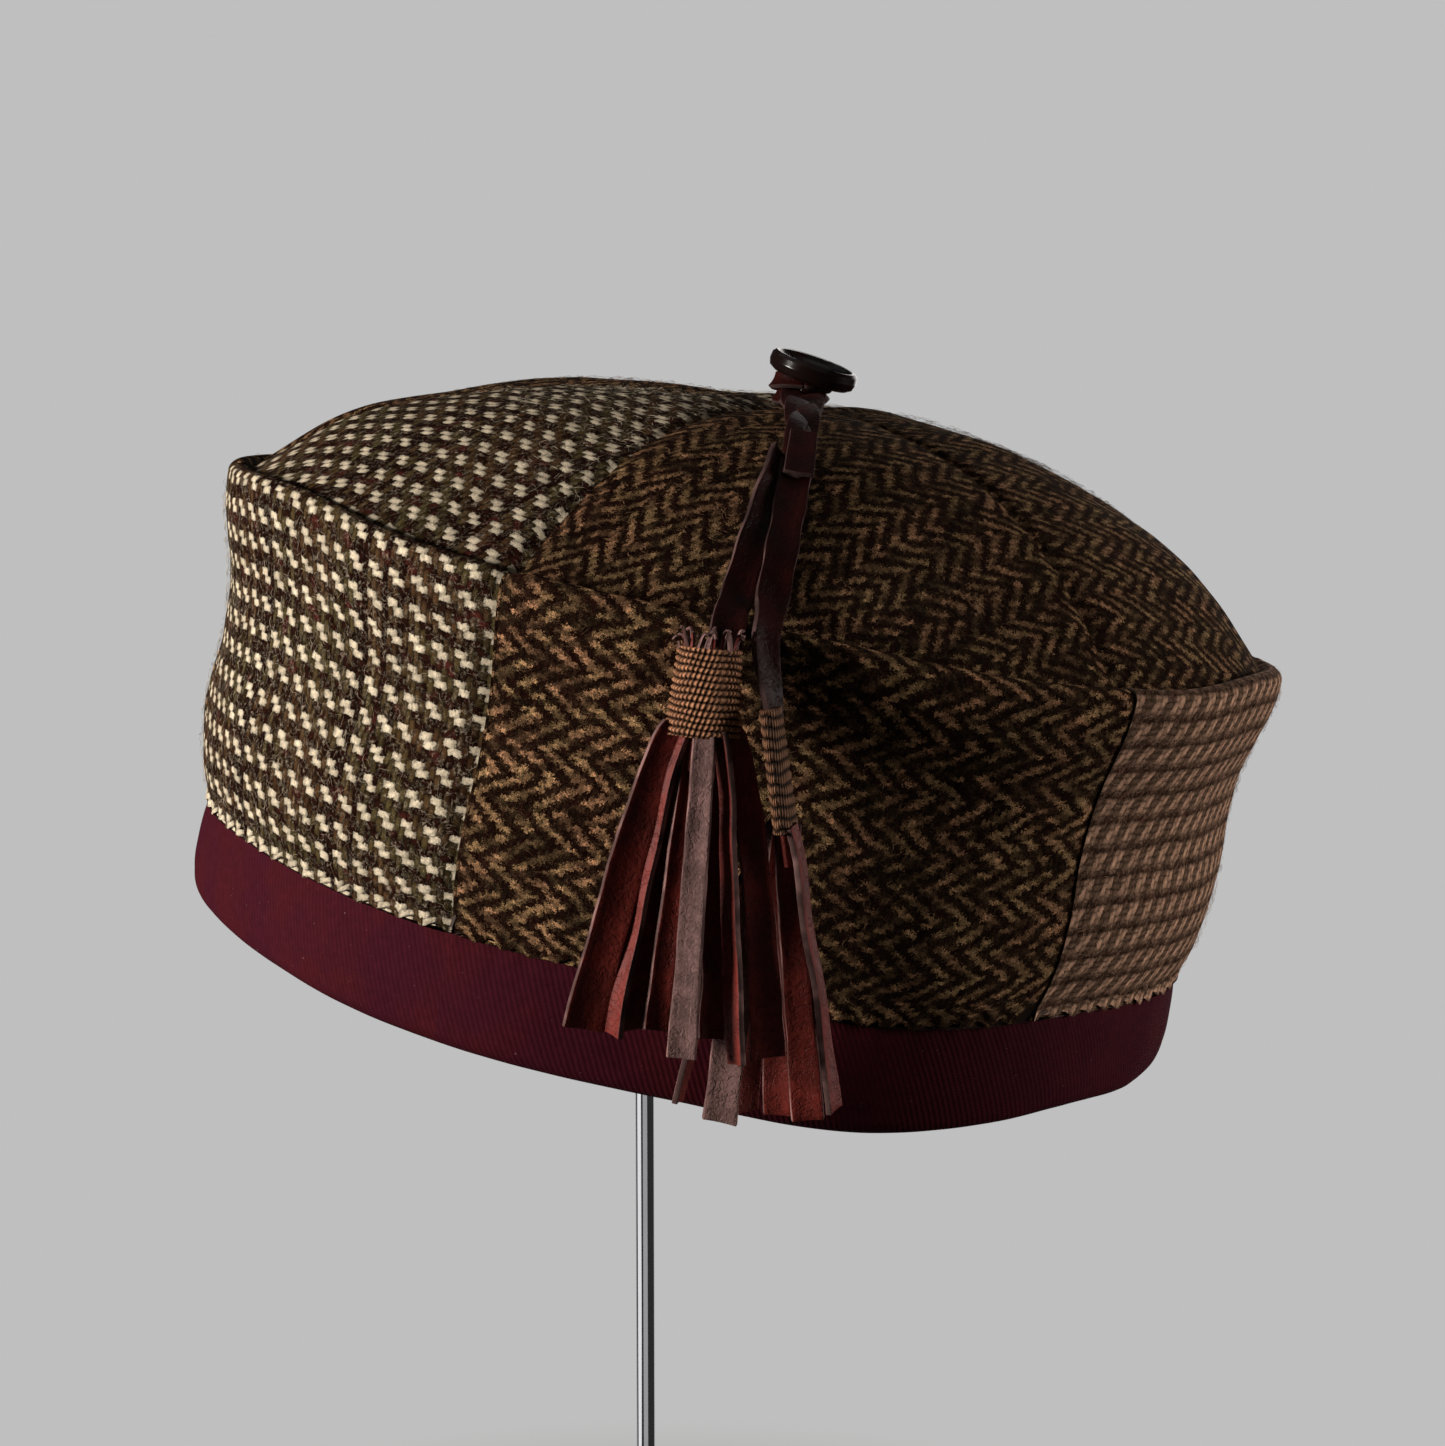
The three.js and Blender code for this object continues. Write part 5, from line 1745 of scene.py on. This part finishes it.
# Stand
class CAP_OT_stand(bpy.types.Operator):
    """Builds the plain rod stand: base, rod and head"""

    bl_idname = "smoking_cap.stand"
    bl_label = "Rod Stand"

    def execute(self, context):
        self.add_rod()
        self.add_base()
        self.add_head()
        return {"FINISHED"}

    def add_rod(self):
        """The slim upright rod."""
        low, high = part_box("stand_rod")
        radius = (high[0] - low[0]) / 2
        deselect_all()
        bpy.ops.mesh.primitive_cylinder_add(
            vertices=64, radius=radius, depth=high[2] - low[2],
            location=(0, 0, (low[2] + high[2]) / 2),
        )
        self.finish_up("stand_rod", "chrome", "polished_chrome", 0.3 * MM)

    def add_base(self):
        """The round base with its collar and a hollow underside."""
        low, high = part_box("stand_base")
        radius, plate = high[0], BASE_PLATE
        deselect_all()
        bpy.ops.mesh.primitive_cylinder_add(
            vertices=192, radius=radius, depth=plate, location=(0, 0, plate / 2),
        )
        bpy.ops.object.transform_apply(location=True)
        pick_faces(bpy.context.object, lambda face: face.normal.z > 0.9)
        bpy.ops.mesh.inset(thickness=radius - COLLAR_RADIUS)
        bpy.ops.mesh.extrude_region_move()
        bpy.ops.transform.translate(value=(0, 0, high[2] - plate))
        bpy.ops.transform.resize(value=(0.8, 0.8, 1))
        bpy.ops.object.mode_set(mode="OBJECT")
        pick_faces(bpy.context.object, lambda face: face.normal.z < -0.9)
        bpy.ops.mesh.inset(thickness=FOOT_RIM)
        bpy.ops.transform.translate(value=(0, 0, FOOT_HOLLOW))
        bpy.ops.object.mode_set(mode="OBJECT")
        self.finish_up("stand_base", "chrome", "polished_chrome", 1.1 * MM)

    def add_head(self):
        """The domed pad that carries the cap, cut from a sphere."""
        low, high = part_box("stand_head")
        deselect_all()
        bpy.ops.mesh.primitive_uv_sphere_add(
            segments=128, ring_count=128, radius=HEAD_SPHERE,
            location=(0, 0, high[2] - HEAD_SPHERE),
        )
        bpy.ops.object.transform_apply(location=True)
        rim = high[2] - HEAD_SPHERE + math.sqrt(HEAD_SPHERE ** 2 - high[0] ** 2)
        bpy.ops.object.mode_set(mode="EDIT")
        bpy.ops.mesh.select_all(action="SELECT")
        bpy.ops.mesh.bisect(
            plane_co=(0, 0, rim), plane_no=(0, 0, 1), use_fill=True, clear_inner=True,
        )
        bpy.ops.object.mode_set(mode="OBJECT")
        pick_faces(bpy.context.object, lambda face: face.normal.z < -0.9)
        bpy.ops.mesh.extrude_region_move()
        bpy.ops.transform.translate(value=(0, 0, low[2] - rim))
        bpy.ops.object.mode_set(mode="OBJECT")
        self.finish_up("stand_head", "black_paint", "matt_black", 0.7 * MM)

    def finish_up(self, name, slot, finish, edge):
        """Softens the edges of the part just modelled, and settles it."""
        piece = bpy.context.object
        piece.name = piece.data.name = name
        bpy.ops.object.transform_apply(location=True)
        soften_edges(piece, edge, 4, 40)
        apply_all(piece)
        bpy.ops.object.shade_smooth_by_angle(angle=math.radians(30))
        give_finishes(piece, [finish])
        settle(piece, slot, name)


# Stage
class CAP_OT_stage(bpy.types.Operator):
    """Sets the pale floor, the studio light and the camera"""

    bl_idname = "smoking_cap.stage"
    bl_label = "Stage"

    def execute(self, context):
        self.add_sweep()
        for light in LIGHTS:
            self.add_light(*light)
        for card in CARDS:
            self.add_card(*card)
        world = bpy.data.worlds.new("studio")
        context.scene.world = world
        world.use_nodes = True
        sky = world.node_tree.nodes["Background"]
        sky.inputs["Color"].default_value = (1, 1, 1, 1)
        sky.inputs["Strength"].default_value = 0.03
        context.scene.view_settings.view_transform = "Standard"
        self.add_camera(context)
        return {"FINISHED"}

    def add_sweep(self):
        """A round floor that curves up into a backdrop on all sides."""
        graph = Graph("sweep_grey")
        grey = (BACKDROP_GREY,) * 3
        place = graph.object_place()
        far = graph.node("ShaderNodeVectorMath", {"operation": "LENGTH"}, {0: place}, 1)
        lit = graph.smooth(far, 0.085, 0.17)
        glow = graph.node("ShaderNodeEmission", {}, {"Color": (*grey, 1), "Strength": 1.0})
        shade = graph.node("ShaderNodeBsdfDiffuse", {}, {"Color": (0.5, 0.5, 0.5, 1)})
        mixed = graph.node("ShaderNodeMixShader", {}, {0: lit, 1: shade, 2: glow})
        graph.node("ShaderNodeOutputMaterial", {}, {"Surface": mixed})
        deselect_all()
        bpy.ops.mesh.primitive_circle_add(
            vertices=128, radius=SWEEP_RADIUS, fill_type="TRIFAN", location=(0, 0, 0),
        )
        sweep = bpy.context.object
        sweep.name = "sweep"
        bpy.ops.object.mode_set(mode="EDIT")
        bpy.ops.mesh.select_mode(type="EDGE")
        bpy.ops.mesh.select_all(action="DESELECT")
        bpy.ops.mesh.select_non_manifold()
        for step in range(1, SWEEP_STEPS + 1):
            angle = math.radians(90 * step / SWEEP_STEPS)
            before = math.radians(90 * (step - 1) / SWEEP_STEPS)
            bpy.ops.mesh.extrude_region_move()
            grow = (SWEEP_RADIUS + math.sin(angle)) / (SWEEP_RADIUS + math.sin(before))
            bpy.ops.transform.resize(value=(grow, grow, 1))
            bpy.ops.transform.translate(value=(0, 0, math.cos(before) - math.cos(angle)))
        bpy.ops.mesh.extrude_region_move()
        bpy.ops.transform.translate(value=(0, 0, 3))
        bpy.ops.object.mode_set(mode="OBJECT")
        bpy.ops.object.shade_smooth()
        sweep.data.materials.append(graph.material)
        sweep.visible_diffuse = False
        sweep.visible_glossy = False

    def add_light(self, name, place, size, power, colour):
        """A square soft light that looks at the cap."""
        light = bpy.data.lights.new(name, "AREA")
        light.size = size
        light.energy = power
        light.color = colour
        lamp = bpy.data.objects.new(name, light)
        bpy.context.scene.collection.objects.link(lamp)
        lamp.location = place
        aim = CAMERA_TARGET - Vector(place)
        lamp.rotation_euler = aim.to_track_quat("-Z", "Y").to_euler()

    def add_card(self, name, place, size, turns, strength):
        """A low white card that is seen only in the bright metal."""
        graph = Graph(name)
        glow = graph.node("ShaderNodeEmission", {}, {"Color": (1, 1, 1, 1), "Strength": strength})
        graph.node("ShaderNodeOutputMaterial", {}, {"Surface": glow})
        deselect_all()
        bpy.ops.mesh.primitive_plane_add(
            size=1, location=place, rotation=(math.radians(turns[0]), 0, math.radians(turns[1])),
        )
        card = bpy.context.object
        card.name = name
        card.scale = (size[0], size[1], 1)
        card.data.materials.append(graph.material)
        card.visible_camera = False
        card.visible_diffuse = False
        card.visible_shadow = False

    def add_camera(self, context):
        """The camera of the photograph."""
        lens = bpy.data.cameras.new("camera")
        lens.sensor_fit = "HORIZONTAL"
        lens.sensor_width = SENSOR_WIDTH
        lens.lens = PHOTO_FOCAL_PIXELS * SENSOR_WIDTH / PHOTO_WIDTH_PIXELS
        lens.clip_start = 0.01
        camera = bpy.data.objects.new("camera", lens)
        context.scene.collection.objects.link(camera)
        look = Vector((0, math.cos(CAMERA_DROP), -math.sin(CAMERA_DROP)))
        camera.location = CAMERA_TARGET - CAMERA_DISTANCE * look
        camera.rotation_euler = look.to_track_quat("-Z", "Y").to_euler()
        context.scene.camera = camera


class CAP_PT_panel(bpy.types.Panel):
    """Lists the steps that build the cap"""

    bl_label = "Smoking Cap"
    bl_idname = "CAP_PT_panel"
    bl_space_type = "VIEW_3D"
    bl_region_type = "UI"
    bl_category = "Smoking Cap"

    def draw(self, context):
        for operator in OPERATORS:
            self.layout.operator(operator.bl_idname)


OPERATORS = (
    CAP_OT_band, CAP_OT_sides, CAP_OT_crown, CAP_OT_thong, CAP_OT_button, CAP_OT_straps,
    CAP_OT_wraps, CAP_OT_fringes, CAP_OT_stand, CAP_OT_stage,
)
GROUPS = (CapShape, TrimSizes, CapColours)
CLASSES = (*GROUPS, *OPERATORS, CAP_PT_panel)


def register():
    """Registers the classes and hangs the groups on the scene."""
    for cls in CLASSES:
        bpy.utils.register_class(cls)
    bpy.types.Scene.cap_shape = bpy.props.PointerProperty(type=CapShape)
    bpy.types.Scene.cap_trim = bpy.props.PointerProperty(type=TrimSizes)
    bpy.types.Scene.cap_colours = bpy.props.PointerProperty(type=CapColours)


def unregister():
    """Takes the groups and the classes away again."""
    del bpy.types.Scene.cap_colours
    del bpy.types.Scene.cap_trim
    del bpy.types.Scene.cap_shape
    for cls in reversed(CLASSES):
        bpy.utils.unregister_class(cls)


def plain(bounds):
    """Bounds as plain lists of numbers."""
    return [[float(value) for value in corner] for corner in bounds]


def main():
    """Builds every piece and the stage."""
    register()
    for operator in OPERATORS:
        group, name = operator.bl_idname.split(".")
        getattr(getattr(bpy.ops, group), name)()


if __name__ == "__main__":
    main()
